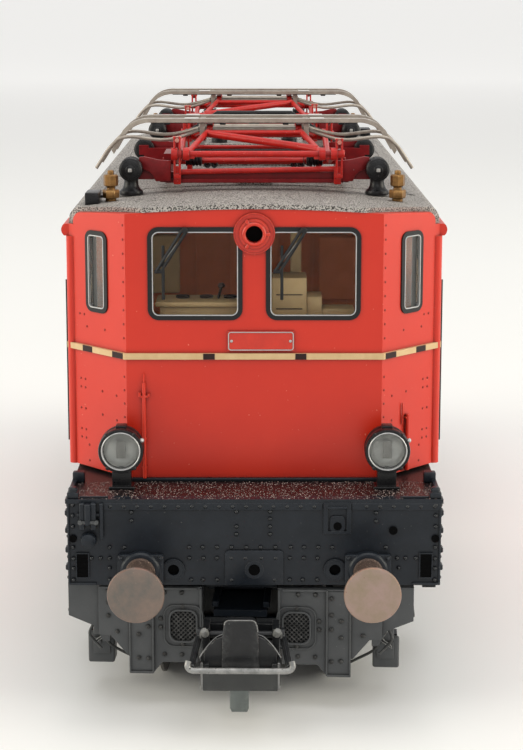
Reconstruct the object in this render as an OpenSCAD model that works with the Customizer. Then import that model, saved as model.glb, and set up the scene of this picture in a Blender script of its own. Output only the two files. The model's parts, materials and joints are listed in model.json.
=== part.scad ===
// Scale model of a four-axle electric locomotive: a box body with three-sided ends on a
// frame with open end platforms, two bogies, loop couplers and two folded pantographs.
// Millimetres at the model's own size. X is across, Y along (front end at -Y), Z up from
// the floor that the wheel flanges stand on.

/* [Overall] */
// Length from buffer face to buffer face
buffer_length = 119.5; // [110:0.5:145]
// Width over the body side walls
body_w = 34.2; // [33.4:0.2:42]
// Height of the side walls above the deck, whose own height follows from the wheels
wall_h = 22.9; // [20:0.1:28]
// Cab front to apron face
platform_depth = 6.1; // [5:0.1:8]

/* [Body shell] */
// Thickness of the shell's walls
wall_t = 0.9; // [0.7:0.1:1.2]
// Width of the flat middle panel of an end
end_panel_w = 23.1; // [22.6:0.1:26]
// How far an end's slanted corner reaches back
corner_depth = 5.6; // [4.5:0.1:6.5]
// Gap between platform deck and body
body_gap = 0.3; // [0.2:0.05:0.5]
// Radius of the roof's arch
roof_arch_r = 150; // [100:5:250]
// Radius of the roof's shoulder
shoulder_r = 1.3; // [0.8:0.1:1.4]
// Height of the roof's shoulder above the gutter
shoulder_h = 1.5; // [1.3:0.1:2.2]
// Thickness of the roof sheet
roof_t = 0.45; // [0.35:0.05:0.6]
// Height of the cream waist rail above the deck
waist_h = 11.6; // [10:0.1:13]
// Depth of a driving cab behind the cab front
cab_depth = 19; // [17:0.5:22]

/* [Windows] */
// Width of an end window over its frame
end_window_w = 8.5; // [7.5:0.1:9.2]
// Height of an end window over its frame
end_window_h = 8.4; // [7:0.1:9]
// Gap between the two end windows
end_window_gap = 2.1; // [1.8:0.1:3]
// Sill of the end windows above the deck
window_sill_h = 14.9; // [13:0.1:16]
// Width of the black window frames
window_frame_w = 0.42; // [0.3:0.02:0.6]
// Thickness of the glazing
glass_t = 0.35; // [0.3:0.05:0.5]
// Width of a side window
side_window_w = 5.6; // [4.5:0.1:6.5]
// Height of a side window
side_window_h = 5.8; // [4.5:0.1:6]
// Width of a side door
door_w = 5.8; // [5:0.1:6.5]

/* [Running gear] */
// Tread diameter of the wheels
wheel_d = 14.9; // [13:0.1:18]
// Width of a wheel
wheel_w = 2.8; // [2.4:0.1:3.2]
// Distance between the backs of a pair of wheels
back_to_back = 14.4; // [14.1:0.1:14.6]
// Height of the flange
flange_h = 1.1; // [0.8:0.05:1.3]
// Axle diameter
axle_d = 2; // [1.6:0.1:2.4]
// Distance between a bogie's two axles
wheelbase = 29; // [28:0.5:36]
// Cab front to bogie pivot
pivot_inset = 18.9; // [18:0.1:24]
// How far both bogies stand turned from straight
bogie_turn = -3; // [-5:0.1:5]
// How far both couplers stand swung in their bogies
coupler_turn = 2.3; // [-6:0.1:6]
// Thickness of the frame plate under the body
frame_t = 1.6; // [1.2:0.1:2.2]
// Clearance between flange and frame plate
wheel_headroom = 0.9; // [0.7:0.1:1.5]

/* [Ends] */
// Buffer face to apron face
buffer_reach = 7.3; // [6:0.1:9]
// Distance between the two buffers' centres
buffer_spacing = 20.1; // [19:0.1:21]
// Diameter of a buffer head
buffer_head_d = 4.9; // [4:0.1:5.4]
// Buffer centre below the deck
buffer_drop = 6.45; // [5.5:0.05:7]
// Width over the apron
apron_w = 33; // [31:0.1:33.4]
// Height of the apron below the deck
apron_h = 7.9; // [7:0.1:9]
// Thickness of the apron plates
apron_t = 1; // [0.8:0.1:1.4]
// Diameter of a platform lamp
lamp_d = 3.9; // [3.4:0.1:4.4]
// Distance between the platform lamps' centres
lamp_spacing = 23.8; // [23:0.1:25]

/* [Couplers] */
// Width over the coupler's loop
loop_w = 9.5; // [9.2:0.1:12]
// Loop bar ahead of the buffer face
loop_reach = 0.5; // [0:0.1:1.5]
// Radius of the loop's hinge pin
loop_pin_r = 0.35; // [0.3:0.05:0.5]

/* [Pantographs] */
// Cab front to pantograph centre
panto_inset = 22; // [21:0.5:26]
// Length of a pantograph arm from pivot to pivot
panto_arm = 10; // [9:0.5:12]
// Angle of the folded arms above level
panto_fold_angle = 9; // [8:0.1:12]
// Half the distance between the two base shafts
panto_shaft_offset = 1.8; // [1.6:0.1:2.5]
// Base shaft above the roof's crown
panto_shaft_h = 1.95; // [1.8:0.05:2.6]
// Distance between the arms' side tubes
panto_arm_w = 15; // [13:0.5:16]
// Tube radius
tube_r = 0.3; // [0.25:0.05:0.4]
// Distance between the insulators, across
insulator_w = 23.3; // [22:0.1:24.5]
// Distance between the insulators, along
insulator_l = 22; // [20:0.5:26]
// Width over a contact bow's horns
bow_w = 28.2; // [24:0.2:30]
// Distance between a pantograph's two contact bows
bow_spacing = 5; // [4.5:0.1:6]

/* [Hidden] */
$fn = 48;

FRONT = 0;                                   // turn about Z that puts a front-end piece in place
REAR = 180;
shaft_play = 0.05;                           // radial play of a shaft in its bore
cut = 0.5;                                   // how far a cutting tool runs past the face it cuts

axle_z = flange_h + wheel_d / 2;
flange_top_z = axle_z + wheel_d / 2 + flange_h;
frame_z = flange_top_z + wheel_headroom;     // underside of the frame plate
deck_z = frame_z + frame_t;                  // top of the platform deck
base_z = deck_z + body_gap;                  // bottom of the body walls
eaves_z = deck_z + wall_h;                   // top of the side walls
half_w = body_w / 2;
cab_y = buffer_length / 2 - buffer_reach - platform_depth;  // cab front from the middle
apron_y = cab_y + platform_depth;            // apron face from the middle
corner_x = end_panel_w / 2;
corner_angle = atan2(corner_depth, half_w - corner_x);
side_y = cab_y - corner_depth;               // end of the straight side wall
crown_z = eaves_z + shoulder_h + half_w * half_w / (2 * roof_arch_r);
plinth_h = 2.4;                              // upstand of the frame inside the body walls
floor_z = deck_z + plinth_h;                 // cab floor level

// Plan outline of the body, moved in by t on every face
function plan(t = 0, corner = corner_x, depth = corner_depth) =
    let (a = atan2(depth, half_w - corner),
         x = corner - t * tan(a / 2),
         y = cab_y - depth - t * tan((90 - a) / 2),
         w = half_w - t,
         l = cab_y - t)
    [[x, -l], [w, -y], [w, y], [x, l], [-x, l], [-w, y], [-w, -y], [-x, -l]];

// Height of the roof arch at a distance x from the middle
function arch_z(x) = crown_z - (roof_arch_r - sqrt(roof_arch_r * roof_arch_r - x * x));

module both_sides() {
    children();
    mirror([1, 0, 0]) children();
}

module both_ends() {
    for (turn = [FRONT, REAR]) rotate([0, 0, turn]) children();
}

module round_rect(w, h, r) {
    square([w - 2 * r, h], center = true);
    square([w, h - 2 * r], center = true);
    for (x = [-1, 1], y = [-1, 1]) translate([x * (w / 2 - r), y * (h / 2 - r)]) circle(r);
}

// A rod along X, Y or Z, centred
module rod_x(r, l) { rotate([0, 90, 0]) cylinder(r = r, h = l, center = true); }
module rod_y(r, l) { rotate([90, 0, 0]) cylinder(r = r, h = l, center = true); }

// A straight rod from point a to point b
module strut(a, b, r, sides = 24) {
    d = b - a;
    l = norm(d);
    translate(a)
        rotate([0, acos(d[2] / l), atan2(d[1], d[0])])
            cylinder(r = r, h = l, $fn = sides);
}

// Stands a 2D shape drawn in X and Z upright, with thickness t going back from its face
module upright(t) {
    rotate([90, 0, 0]) translate([0, 0, -t]) linear_extrude(t) children();
}

// ---------------------------------------------------------------- body

end_window_x = end_window_gap / 2 + end_window_w / 2;
end_window_z = deck_z + window_sill_h + end_window_h / 2;
corner_window_w = 3;
corner_window_h = 7.5;
corner_window_z = deck_z + window_sill_h + 0.2 + corner_window_h / 2;
window_r = 1;
side_window_z = deck_z + window_sill_h + 0.2 + side_window_h / 2;
door_y = side_y - 1 - door_w / 2;
door_foot_z = base_z + 1.2;
door_top_z = side_window_z + side_window_h / 2 + 0.7;
door_glass_w = door_w - 1.8;
door_glass_h = side_window_h - 0.6;
cab_window_y = door_y - door_w / 2 - 1.3 - side_window_w / 2;
bay = (2 * cab_window_y - side_window_w) / 5;           // machine room: five equal bays
machine_window_y = bay;                                  // windows in the second and fourth bay
louvre_w = bay - 1.2;
louvre_h = 5.8;
panel_sunk = 0.3;                                        // depth of louvre and door panels
gutter_r = 0.55;
top_lamp_z = end_window_z + end_window_h / 2 - 0.55;
top_lamp_r = 1.85;

// Places a piece drawn on the X, Z plane, facing -Y, on the right slanted corner of the front
module on_corner(z) {
    translate([(corner_x + half_w) / 2, -(cab_y + side_y) / 2, z])
        rotate([0, 0, corner_angle]) children();
}

// Places a piece drawn on the X, Z plane, facing -Y, on the right side wall
module on_side(y, z) {
    translate([half_w, y, z]) rotate([0, 0, 90]) children();
}

module end_window_places() {
    both_ends() both_sides() translate([end_window_x, -cab_y, end_window_z]) children();
}

module corner_window_places() {
    both_ends() both_sides() on_corner(corner_window_z) children();
}

module side_window_places() {
    both_sides() for (y = [-cab_window_y, -machine_window_y, machine_window_y, cab_window_y])
        on_side(y, side_window_z) children();
}

module door_places() {
    both_sides() for (y = [-door_y, door_y]) on_side(y, 0) children();
}

// Everything below the roof sheet: the section's outline moved in by t
module roof_section(t = 0) {
    w = half_w - t;
    r = shoulder_r - t;
    top = arch_z(half_w - shoulder_r) - t;
    intersection() {
        translate([0, crown_z - roof_arch_r]) circle(roof_arch_r - t, $fn = 200);
        union() {
            translate([-w, 0]) square([2 * w, top - r]);
            translate([-(w - r), 0]) square([2 * (w - r), crown_z + 1]);
            for (s = [-1, 1]) translate([s * (w - r), top - r]) circle(r);
        }
    }
}

module roof_solid(t = 0) {
    rotate([90, 0, 0]) linear_extrude(2 * cab_y + 4, center = true) roof_section(t);
}

module wall_band(z0, z1) {
    translate([0, 0, z0]) linear_extrude(z1 - z0) difference() {
        polygon(plan());
        polygon(plan(wall_t));
    }
}

module gutter() {
    both_sides() translate([half_w, 0, eaves_z - gutter_r]) intersection() {
        rod_y(gutter_r + 0.15, 2 * side_y);
        translate([0, -cab_y, -gutter_r]) cube([2, 2 * cab_y, 2 * gutter_r]);
    }
}

post_r = 0.5;                                            // rounded post on the wall's corner
post_in = 0.25;

module corner_post() {
    both_ends() both_sides() translate([half_w - post_in, -side_y, base_z])
        cylinder(r = post_r, h = eaves_z - 2 * gutter_r - base_z);
}

module body_shell() {
    color("orangered") difference() {
        union() {
            wall_band(base_z, eaves_z);
            intersection() {
                wall_band(eaves_z, crown_z);
                roof_solid(roof_t);
                both_ends() translate([-half_w, -cab_y, eaves_z])
                    cube([2 * half_w, cab_y - side_y, crown_z - eaves_z + cut]);
            }
            gutter();
            corner_post();
        }
        end_window_places() translate([0, -cut, 0]) upright(cut + wall_t + cut)
            round_rect(end_window_w, end_window_h, window_r);
        corner_window_places() translate([0, -cut, 0]) upright(cut + wall_t + cut)
            round_rect(corner_window_w, corner_window_h, window_r * 0.8);
        side_window_places() translate([0, -cut, 0]) upright(cut + wall_t + cut)
            round_rect(side_window_w, side_window_h, window_r * 0.6);
        door_places() translate([0, -cut, 0]) upright(cut + panel_sunk)
            translate([-door_w / 2, door_foot_z]) square([door_w, door_top_z - door_foot_z]);
        door_places() translate([0, -cut, side_window_z]) upright(cut + wall_t + cut)
            round_rect(door_glass_w, door_glass_h, window_r * 0.6);
        both_sides() for (y = [-2 * bay, 0, 2 * bay]) on_side(y, side_window_z)
            translate([0, -cut, 0]) upright(cut + panel_sunk) round_rect(louvre_w, louvre_h, 0.3);
        both_ends() translate([0, -cab_y, top_lamp_z]) rod_y(top_lamp_r, lamp_cut_l);
    }
}

roof_overhang = 0.12;
roof_corner_in = 1.7;                                    // the roof's corner against the body's
roof_corner_back = 0.7;

module roof() {
    color("silver") difference() {
        intersection() {
            roof_solid();
            translate([0, 0, eaves_z]) linear_extrude(crown_z - eaves_z + cut)
                polygon(plan(-roof_overhang, corner_x - roof_corner_in, corner_depth + roof_corner_back));
        }
        roof_solid(roof_t);
    }
}

// ---------------------------------------------------------------- frame and platforms

pivot_y = cab_y - pivot_inset;
pivot_r = 2;
pivot_l = 3.4;
deck_overhang = 0.15;
return_l = 8;                                            // the apron's side returns
frame_half_w = apron_w / 2;
tank_x = 8.5;
tank_r = 1.9;
tank_l = 5.2;
tank_drop = 2.6;                                         // tank's axis below the frame plate
tank_strap_w = 1.2;
tank_strap_l = 4;
tank_strap_h = 2;

module main_frame() {
    color("dimgray") {
        translate([-frame_half_w, -apron_y + apron_t, frame_z])
            cube([2 * frame_half_w, 2 * (apron_y - apron_t), frame_t]);
        translate([0, 0, deck_z]) linear_extrude(plinth_h) polygon(plan(wall_t));
        both_ends() translate([0, -pivot_y, frame_z - pivot_l]) cylinder(r = pivot_r, h = pivot_l);
        // air tanks that hang between the bogies
        both_sides() translate([tank_x, 0, frame_z]) {
            translate([0, 0, -tank_drop]) rod_y(tank_r, tank_l);
            translate([-tank_strap_w / 2, -tank_strap_l / 2, -tank_strap_h])
                cube([tank_strap_w, tank_strap_l, tank_strap_h]);
        }
    }
}

hook_hole_r = 0.5;
hose_hole_r = 0.5;
hose_ring_r = 0.85;
hose_ring_proud = 0.25;
hose_spacing = 14.3;
apron_mid_z = deck_z - buffer_drop;

module apron() {
    color("darkslategray") difference() {
        union() {
            translate([-apron_w / 2, -apron_y, deck_z - apron_h])
                cube([apron_w, apron_t, apron_h - 0.4]);
            translate([-apron_w / 2 - deck_overhang, -apron_y - deck_overhang, deck_z - 0.4])
                cube([apron_w + 2 * deck_overhang, apron_t + deck_overhang, 0.4]);
            both_sides() translate([apron_w / 2 - apron_t, -apron_y, deck_z - apron_h])
                cube([apron_t, return_l, apron_h - frame_t]);
            both_sides() translate([hose_spacing / 2, -apron_y, apron_mid_z])
                rod_y(hose_ring_r, 2 * hose_ring_proud);
        }
        translate([0, -apron_y, apron_mid_z]) rod_y(hook_hole_r, 4);
        both_sides() translate([hose_spacing / 2, -apron_y, apron_mid_z]) rod_y(hose_hole_r, 4);
    }
}

// The drive inside: motor and ballast as one plain block on the plinth
module drive_block() {
    l = 2 * (cab_y - cab_depth) - 2;
    color("gray") translate([-half_w + 6, -l / 2, floor_z]) cube([2 * (half_w - 6), l, 15]);
}

// ---------------------------------------------------------------- glazing and cab

module window_ring(w, h, r) {
    difference() {
        round_rect(w, h, r);
        round_rect(w - 2 * window_frame_w, h - 2 * window_frame_w, r - window_frame_w);
    }
}

ring_proud = 0.12;
ring_t = wall_t * 0.6;

module window_frames() {
    color("black") {
        difference() {
            end_window_places() translate([0, -ring_proud, 0]) upright(ring_proud + ring_t)
                window_ring(end_window_w, end_window_h, window_r);
            both_ends() translate([0, -cab_y, top_lamp_z]) rod_y(top_lamp_r, lamp_cut_l);
        }
        corner_window_places() translate([0, -ring_proud, 0]) upright(ring_proud + ring_t)
            window_ring(corner_window_w, corner_window_h, window_r * 0.8);
        side_window_places() translate([0, -ring_proud, 0]) upright(ring_proud + ring_t)
            window_ring(side_window_w, side_window_h, window_r * 0.6);
    }
}

glass_in = 0.15;                                         // glazing behind the wall's face
lamp_cut_l = 4 * wall_t;

module end_glass() {
    w = end_window_w - 2 * window_frame_w;
    h = end_window_h - 2 * window_frame_w;
    color([0.8, 0.9, 0.9, 0.4]) {
        difference() {
            end_window_places() translate([0, glass_in, 0]) upright(glass_t)
                round_rect(w, h, window_r - window_frame_w);
            both_ends() translate([0, -cab_y, top_lamp_z]) rod_y(top_lamp_r, lamp_cut_l);
        }
        corner_window_places() translate([0, glass_in, 0]) upright(glass_t)
            round_rect(corner_window_w - 2 * window_frame_w, corner_window_h - 2 * window_frame_w,
                       window_r * 0.8 - window_frame_w);
    }
}

module side_glass() {
    color([0.8, 0.9, 0.9, 0.4]) {
        side_window_places() translate([0, glass_in, 0]) upright(glass_t)
            round_rect(side_window_w - 2 * window_frame_w, side_window_h - 2 * window_frame_w,
                       window_r * 0.6 - window_frame_w);
        door_places() translate([0, panel_sunk + 0.1, side_window_z]) upright(glass_t)
            round_rect(door_glass_w, door_glass_h, window_r * 0.6);
    }
}

wiper_r = 0.12;
wiper_hub_r = 0.3;
wiper_off = 0.45;                                        // wiper's axis in front of the cab
wiper_hub_x = -1;                                        // from the window's middle
wiper_blade_x = -3;
wiper_elbow = 4.4;                                       // drops below the window's top edge
wiper_blade_top = 2.2;
wiper_blade_foot = 7;

module wipers() {
    color("black") both_ends() for (x = [-end_window_x, end_window_x]) {
        y = -cab_y - wiper_off;
        top = end_window_z + end_window_h / 2 + 0.1;
        hub = [x + wiper_hub_x, y, top + 0.2];
        blade_x = x + wiper_blade_x;
        translate([hub[0], -cab_y - wiper_hub_r, hub[2]]) rod_y(wiper_hub_r, 2 * wiper_hub_r);
        strut(hub, [blade_x, y, top - wiper_elbow], wiper_r);
        strut([blade_x, y, top - wiper_blade_top], [blade_x, y, top - wiper_blade_foot], wiper_r);
    }
}

bulkhead_t = 0.8;
cab_wall_clear = 0.6;                                    // cab interior to the body walls
cab_floor_t = 0.6;
cab_floor_y = 6.5;                                       // floor's front edge behind the cab front
desk_h = 11;                                             // desk top above the cab floor
desk_depth = 4;
desk_y = 1.5;                                            // desk's front behind the cab front
desk_half_w = corner_x - 1.2;
seat_x = 5.4;
seat_y = 10.2;                                           // cushion's front behind the cab front
seat_w = 4;
seat_t = 0.8;
seat_h = 4;                                              // cushion above the cab floor
seat_post_r = 0.6;

// Driver's and assistant's seats: post, cushion and back
module seat() {
    translate([0, seat_y + 1.8, 0]) cylinder(r = seat_post_r, h = seat_h);
    translate([-seat_w / 2, seat_y, seat_h]) cube([seat_w, seat_w, seat_t]);
    translate([-seat_w / 2, seat_y + seat_w - seat_t, seat_h + seat_t]) cube([seat_w, seat_t, seat_w]);
}

module cab_interiors() {
    inner = half_w - wall_t - cab_wall_clear;
    color("saddlebrown") both_ends() translate([0, -cab_y, floor_z]) {
        translate([-inner, cab_depth, 0]) cube([2 * inner, bulkhead_t, eaves_z - floor_z]);
        translate([-inner, cab_floor_y, 0]) cube([2 * inner, cab_depth - cab_floor_y, cab_floor_t]);
        translate([-desk_half_w, desk_y, 0]) cube([2 * desk_half_w, desk_depth, desk_h]);
        translate([-desk_half_w, desk_y + desk_depth, 0]) cube([2 * desk_half_w, 2, cab_floor_t]);
        for (x = [-seat_x, seat_x]) translate([x, 0, cab_floor_t]) seat();
    }
}

// ---------------------------------------------------------------- trim on the body

waist_z = deck_z + waist_h;
waist_rail_h = 0.55;
waist_rail_t = 0.3;

handrail_r = 0.13;
handrail_from_door = 0.35;
rail_break = door_w + 2 * (handrail_from_door + 2 * handrail_r);    // the waist rail stops at the doors

module waist_rail() {
    color("wheat") translate([0, 0, waist_z - waist_rail_h / 2]) difference() {
        linear_extrude(waist_rail_h) difference() {
            polygon(plan(-waist_rail_t));
            polygon(plan());
        }
        translate([0, 0, -waist_z + waist_rail_h / 2 + base_z]) both_ends() both_sides()
            translate([half_w - post_in, -side_y, 0]) cylinder(r = post_r, h = wall_h);
        both_sides() for (y = [-door_y, door_y])
            translate([half_w - 1, y - rail_break / 2, -1]) cube([3, rail_break, 3]);
    }
}

plate_w = 6;
plate_h = 1.8;
plate_t = 0.2;
plate_x = 0.6;                                           // from the end's middle
plate_up = 1.4;                                          // plate's middle above the waist rail

module number_plates() {
    color("silver") both_ends() translate([plate_x, -cab_y - plate_t, waist_z + plate_up])
        upright(plate_t) square([plate_w, plate_h], center = true);
}

handrail_gap = 0.32;                                     // wall to the rail's axis
handrail_foot = 2;                                       // above the body's lower edge
handrail_head = 6;                                       // above the waist rail

module handrails() {
    color("black") both_sides() for (y = [-door_y, door_y], s = [-1, 1]) {
        low = base_z + handrail_foot;
        high = waist_z + handrail_head;
        translate([half_w, y + s * (door_w / 2 + handrail_from_door), 0]) {
            translate([handrail_gap, 0, low]) cylinder(r = handrail_r, h = high - low);
            for (z = [low + 2 * handrail_r, high - 2 * handrail_r])
                translate([handrail_gap / 2, 0, z]) rod_x(handrail_r, handrail_gap);
        }
    }
}

step_x = frame_half_w - 0.3;
step_drop = 11;                                          // lowest step below the frame plate
step_pitch = 4;
step_w = 4.8;
step_depth = 1.3;
step_t = 0.4;
stringer_t = 0.5;

module door_steps() {
    color("black") both_sides() for (y = [-door_y, door_y]) {
        for (s = [-1, 1])
            translate([step_x, y + s * (step_w / 2 - step_t / 2) - step_t / 2, frame_z - step_drop])
                cube([stringer_t, step_t, step_drop]);
        for (i = [0 : 2])
            translate([step_x, y - step_w / 2, frame_z - step_drop + i * step_pitch])
                cube([step_depth, step_w, step_t]);
    }
}

// ---------------------------------------------------------------- lamps, buffers, whistles

lamp_x = lamp_spacing / 2;
lamp_back_y = -cab_y - 0.9;
lamp_l = 2.7;
lamp_z = deck_z + 3.6;
lamp_post_w = 1.7;
lamp_post_l = 1.2;
lamp_foot_r = 1.4;
lamp_foot_t = 0.3;
lamp_peg_r = 0.22;
lens_t = 0.35;
lens_r = lamp_d / 2 - 0.35;
lens_in = 0.26;                                          // lens behind the lamp's front edge

module platform_lamps() {
    color("black") both_ends() both_sides() translate([lamp_x, lamp_back_y - lamp_l / 2, 0]) {
        difference() {
            union() {
                translate([0, 0, lamp_z]) rod_y(lamp_d / 2, lamp_l);
                translate([-lamp_post_w / 2, -lamp_post_l / 2, deck_z])
                    cube([lamp_post_w, lamp_post_l, lamp_z - deck_z]);
                translate([0, 0, deck_z]) cylinder(r = lamp_foot_r, h = lamp_foot_t);
            }
            translate([0, -lamp_l / 2 - 0.01, lamp_z]) rod_y(lens_r, 2 * lens_t + 0.6);
        }
        // peg through the top of the shade
        translate([0.7, 0.4, lamp_z + lamp_d / 2 - 0.2]) rotate([0, 40, 0])
            cylinder(r = lamp_peg_r, h = 0.5);
    }
}

top_lamp_proud = 0.25;
top_bezel_r = 1.25;
top_bezel_proud = 0.7;
top_lens_r = 0.75;
top_lens_t = 0.3;

module top_lamps() {
    color("orangered") both_ends() translate([0, -cab_y, top_lamp_z]) difference() {
        union() {
            rotate([90, 0, 0]) translate([0, 0, -wall_t])
                cylinder(r = top_lamp_r, h = wall_t + top_lamp_proud);
            rotate([90, 0, 0]) cylinder(r = top_bezel_r, h = top_bezel_proud);
        }
        rotate([90, 0, 0]) translate([0, 0, -0.3]) cylinder(r = top_lens_r, h = 2);
    }
}

module lamp_lenses() {
    color([0.9, 0.9, 0.9, 0.5]) both_ends() {
        both_sides() translate([lamp_x, lamp_back_y - lamp_l + lens_t / 2 + lens_in, lamp_z])
            rod_y(lens_r, lens_t);
        translate([0, -cab_y + top_lens_t / 2, top_lamp_z]) rod_y(top_lens_r, top_lens_t);
    }
}

buffer_plate_w = 4.1;
buffer_plate_h = 2.9;
buffer_plate_t = 0.5;
buffer_plate_low = -1.4;                                 // plate's lower edge from the buffer's axis
buffer_barrel_r = 1.2;
buffer_barrel_l = 3.8;
buffer_plunger_r = 0.85;
buffer_head_t = 0.7;
buffer_dome_r = 14;

module buffers() {
    color("rosybrown") both_ends() both_sides()
        translate([buffer_spacing / 2, -apron_y, deck_z - buffer_drop]) {
            translate([-buffer_plate_w / 2, -buffer_plate_t, buffer_plate_low])
                cube([buffer_plate_w, buffer_plate_t, buffer_plate_h]);
            rotate([90, 0, 0]) cylinder(r = buffer_barrel_r, h = buffer_barrel_l);
            rotate([90, 0, 0]) cylinder(r = buffer_plunger_r, h = buffer_reach - 0.3);
            // head with a slightly domed face
            intersection() {
                rotate([90, 0, 0]) translate([0, 0, buffer_reach - buffer_head_t])
                    cylinder(r = buffer_head_d / 2, h = buffer_head_t);
                translate([0, -buffer_reach + buffer_dome_r, 0]) sphere(r = buffer_dome_r, $fn = 120);
            }
        }
}

whistle_x = 13.3;
whistle_inset = 7.4;
// Radius, foot above the roof and height of each turned step, from stem to tip
whistle_steps = [[0.4, -0.5, 1], [0.66, 0.35, 0.75], [0.45, 1.1, 0.35], [0.62, 1.45, 1.05],
                 [0.28, 2.5, 0.35]];

module whistles() {
    color("goldenrod") on_roof() both_ends() for (s = [-1, 1]) {
        z = arch_z(whistle_x);
        translate([s * whistle_x, -cab_y + whistle_inset, z])
            for (step = whistle_steps) translate([0, 0, step[1]]) cylinder(r = step[0], h = step[2]);
    }
}

// ---------------------------------------------------------------- roof equipment

panto_y = cab_y - panto_inset;
box_l = 2 * panto_y - insulator_l - 5;
box_w = 11;
box_h = 1.6;
pad_w = 3.4;                                             // block on the roof under each pantograph
pad_l = 5;
pad_h = 0.75;
pad_back = 6.5;

// Cuts away whatever lies inside the roof
module on_roof() {
    difference() {
        children();
        roof_solid();
    }
}

module roof_box() {
    color("silver") on_roof() {
        translate([-box_w / 2, -box_l / 2, crown_z - 1]) cube([box_w, box_l, 1 + box_h]);
        for (s = [-1, 1]) translate([-pad_w / 2, s * panto_y - pad_back, crown_z - cut])
            cube([pad_w, pad_l, cut + pad_h]);
    }
}

busbar_h = 3.3;                                          // bar's axis above the roof box
busbar_r = 0.3;
busbar_l = 8.6;
busbar_post_x = 3.968;
side_post_x = 9.2;

module roof_busbar() {
    bar_z = crown_z + box_h + busbar_h;
    color("darkslategray") {
        for (x = [-busbar_post_x, 0, busbar_post_x])
            translate([x, 0, crown_z + box_h]) busbar_post();
        translate([0, 0, bar_z]) rod_x(busbar_r, busbar_l);
        for (s = [-1, 1])
            strut([s * 4.2, 0, bar_z], [s * side_post_x, 0, arch_z(side_post_x) + 1.9], busbar_r - 0.05);
        for (s = [-1, 1]) translate([s * side_post_x, 0, arch_z(side_post_x)]) side_post();
    }
}

// Insulator with four sheds, each smaller than the one below
module busbar_post() {
    cylinder(r = 0.9, h = 0.5);
    for (i = [0 : 3]) translate([0, 0, 0.5 + i * 0.65]) cylinder(r = 0.75 - i * 0.08, h = 0.4);
    cylinder(r = 0.4, h = busbar_h);
}

module side_post() {
    translate([0, 0, 0.06]) cylinder(r = 0.7, h = 0.9);
    translate([0, 0, 0.9]) cylinder(r = 0.45, h = 1.2);
}

insulator_x = insulator_w / 2;
insulator_y = insulator_l / 2;
insulator_z = crown_z + 2.05;                             // axis of the ribbed barrels
insulator_r = 1.08;
insulator_len = 2.6;
insulator_ribs = 3;
insulator_foot_r = 0.95;
insulator_neck_r = 0.6;
insulator_drop = 3.2;                                     // foot's underside below the barrel's axis

module insulator() {
    for (i = [0 : insulator_ribs - 1])
        translate([0, (i - (insulator_ribs - 1) / 2) * insulator_len / insulator_ribs, 0])
            rod_y(insulator_r, insulator_len / insulator_ribs * 0.62);
    rod_y(insulator_r * 0.75, insulator_len);
    translate([0, 0, -insulator_r - 0.9])
        cylinder(r1 = insulator_foot_r, r2 = insulator_neck_r, h = 1.2, $fn = 24);
    translate([0, 0, -insulator_drop]) cylinder(r = insulator_foot_r, h = 1.25);
}

module pantograph_insulators() {
    color("black") on_roof() both_ends() translate([0, -panto_y, 0])
        both_sides() for (s = [-1, 1]) translate([insulator_x, s * insulator_y, insulator_z]) insulator();
}

// ---------------------------------------------------------------- pantographs
// Drawn about their own centre, with the shafts' axes along X. Arm a folds to -Y, arm b to +Y.

shaft_r = tube_r + 0.05;
shaft_z = crown_z + panto_shaft_h;
knee_y = panto_shaft_offset + panto_arm * cos(panto_fold_angle);
knee_z = shaft_z + panto_arm * sin(panto_fold_angle);
head_z = shaft_z + 2 * panto_arm * sin(panto_fold_angle);
arm_x = panto_arm_w / 2;                                  // side tubes of a lower arm
upper_knee_x = arm_x - 1.1;                               // eyes of an upper arm on the knee tube
upper_head_x = upper_knee_x - 2;                          // eyes of an upper arm on the head pin
eye_r = tube_r + 0.3;
eye_w = 0.6;
base_rail_x = arm_x + 1.1;
base_rail_h = 1.3;
base_rail_z = crown_z + 0.75;
rail_t = 0.7;
channel_h = 0.9;
cheek_over_shaft = 0.8;
cross_y = insulator_y - 1.4;

module at_panto(end) { rotate([0, 0, end]) translate([0, -panto_y, 0]) children(); }

module pantograph_base() {
    color("firebrick") difference() {
        union() {
            // two long rails with cross channels
            both_sides() translate([base_rail_x - rail_t / 2, -cross_y - 0.5, base_rail_z])
                cube([rail_t, 2 * cross_y + 1, base_rail_h]);
            for (s = [-1, 1]) translate([-base_rail_x, s * cross_y - 0.5, base_rail_z])
                cube([2 * base_rail_x, 1, channel_h]);
            // bearing cheeks for the two shafts
            both_sides() translate([base_rail_x - rail_t / 2, -panto_shaft_offset - 1, base_rail_z])
                cube([rail_t, 2 * panto_shaft_offset + 2, shaft_z - base_rail_z + cheek_over_shaft]);
            // outriggers to the insulators
            both_sides() for (s = [-1, 1])
                translate([base_rail_x, s * cross_y - rail_t / 2, base_rail_z + 0.2])
                    cube([insulator_x - base_rail_x, rail_t, insulator_z - base_rail_z]);
            both_sides() for (s = [-1, 1]) tie_plate(s);
        }
        both_sides() for (s = [-1, 1]) translate([base_rail_x, s * panto_shaft_offset, shaft_z])
            rod_x(shaft_r + shaft_play, 3);
        for (s = [-1, 1]) both_sides() translate([insulator_x, s * insulator_y, insulator_z])
            rod_y(insulator_r, insulator_len);
    }
}

// Plate that ties an outrigger to the inner end of its insulator
module tie_plate(s) {
    near = insulator_y - insulator_len / 2;
    translate([insulator_x - 0.5, s > 0 ? cross_y - rail_t / 2 : -near, insulator_z - 0.5])
        cube([1, near - cross_y + rail_t / 2, 1]);
}

lever_w = 0.6;                                            // lever on the base shaft, under each tube
lever_l = 1;
lever_h = 0.9;

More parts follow.
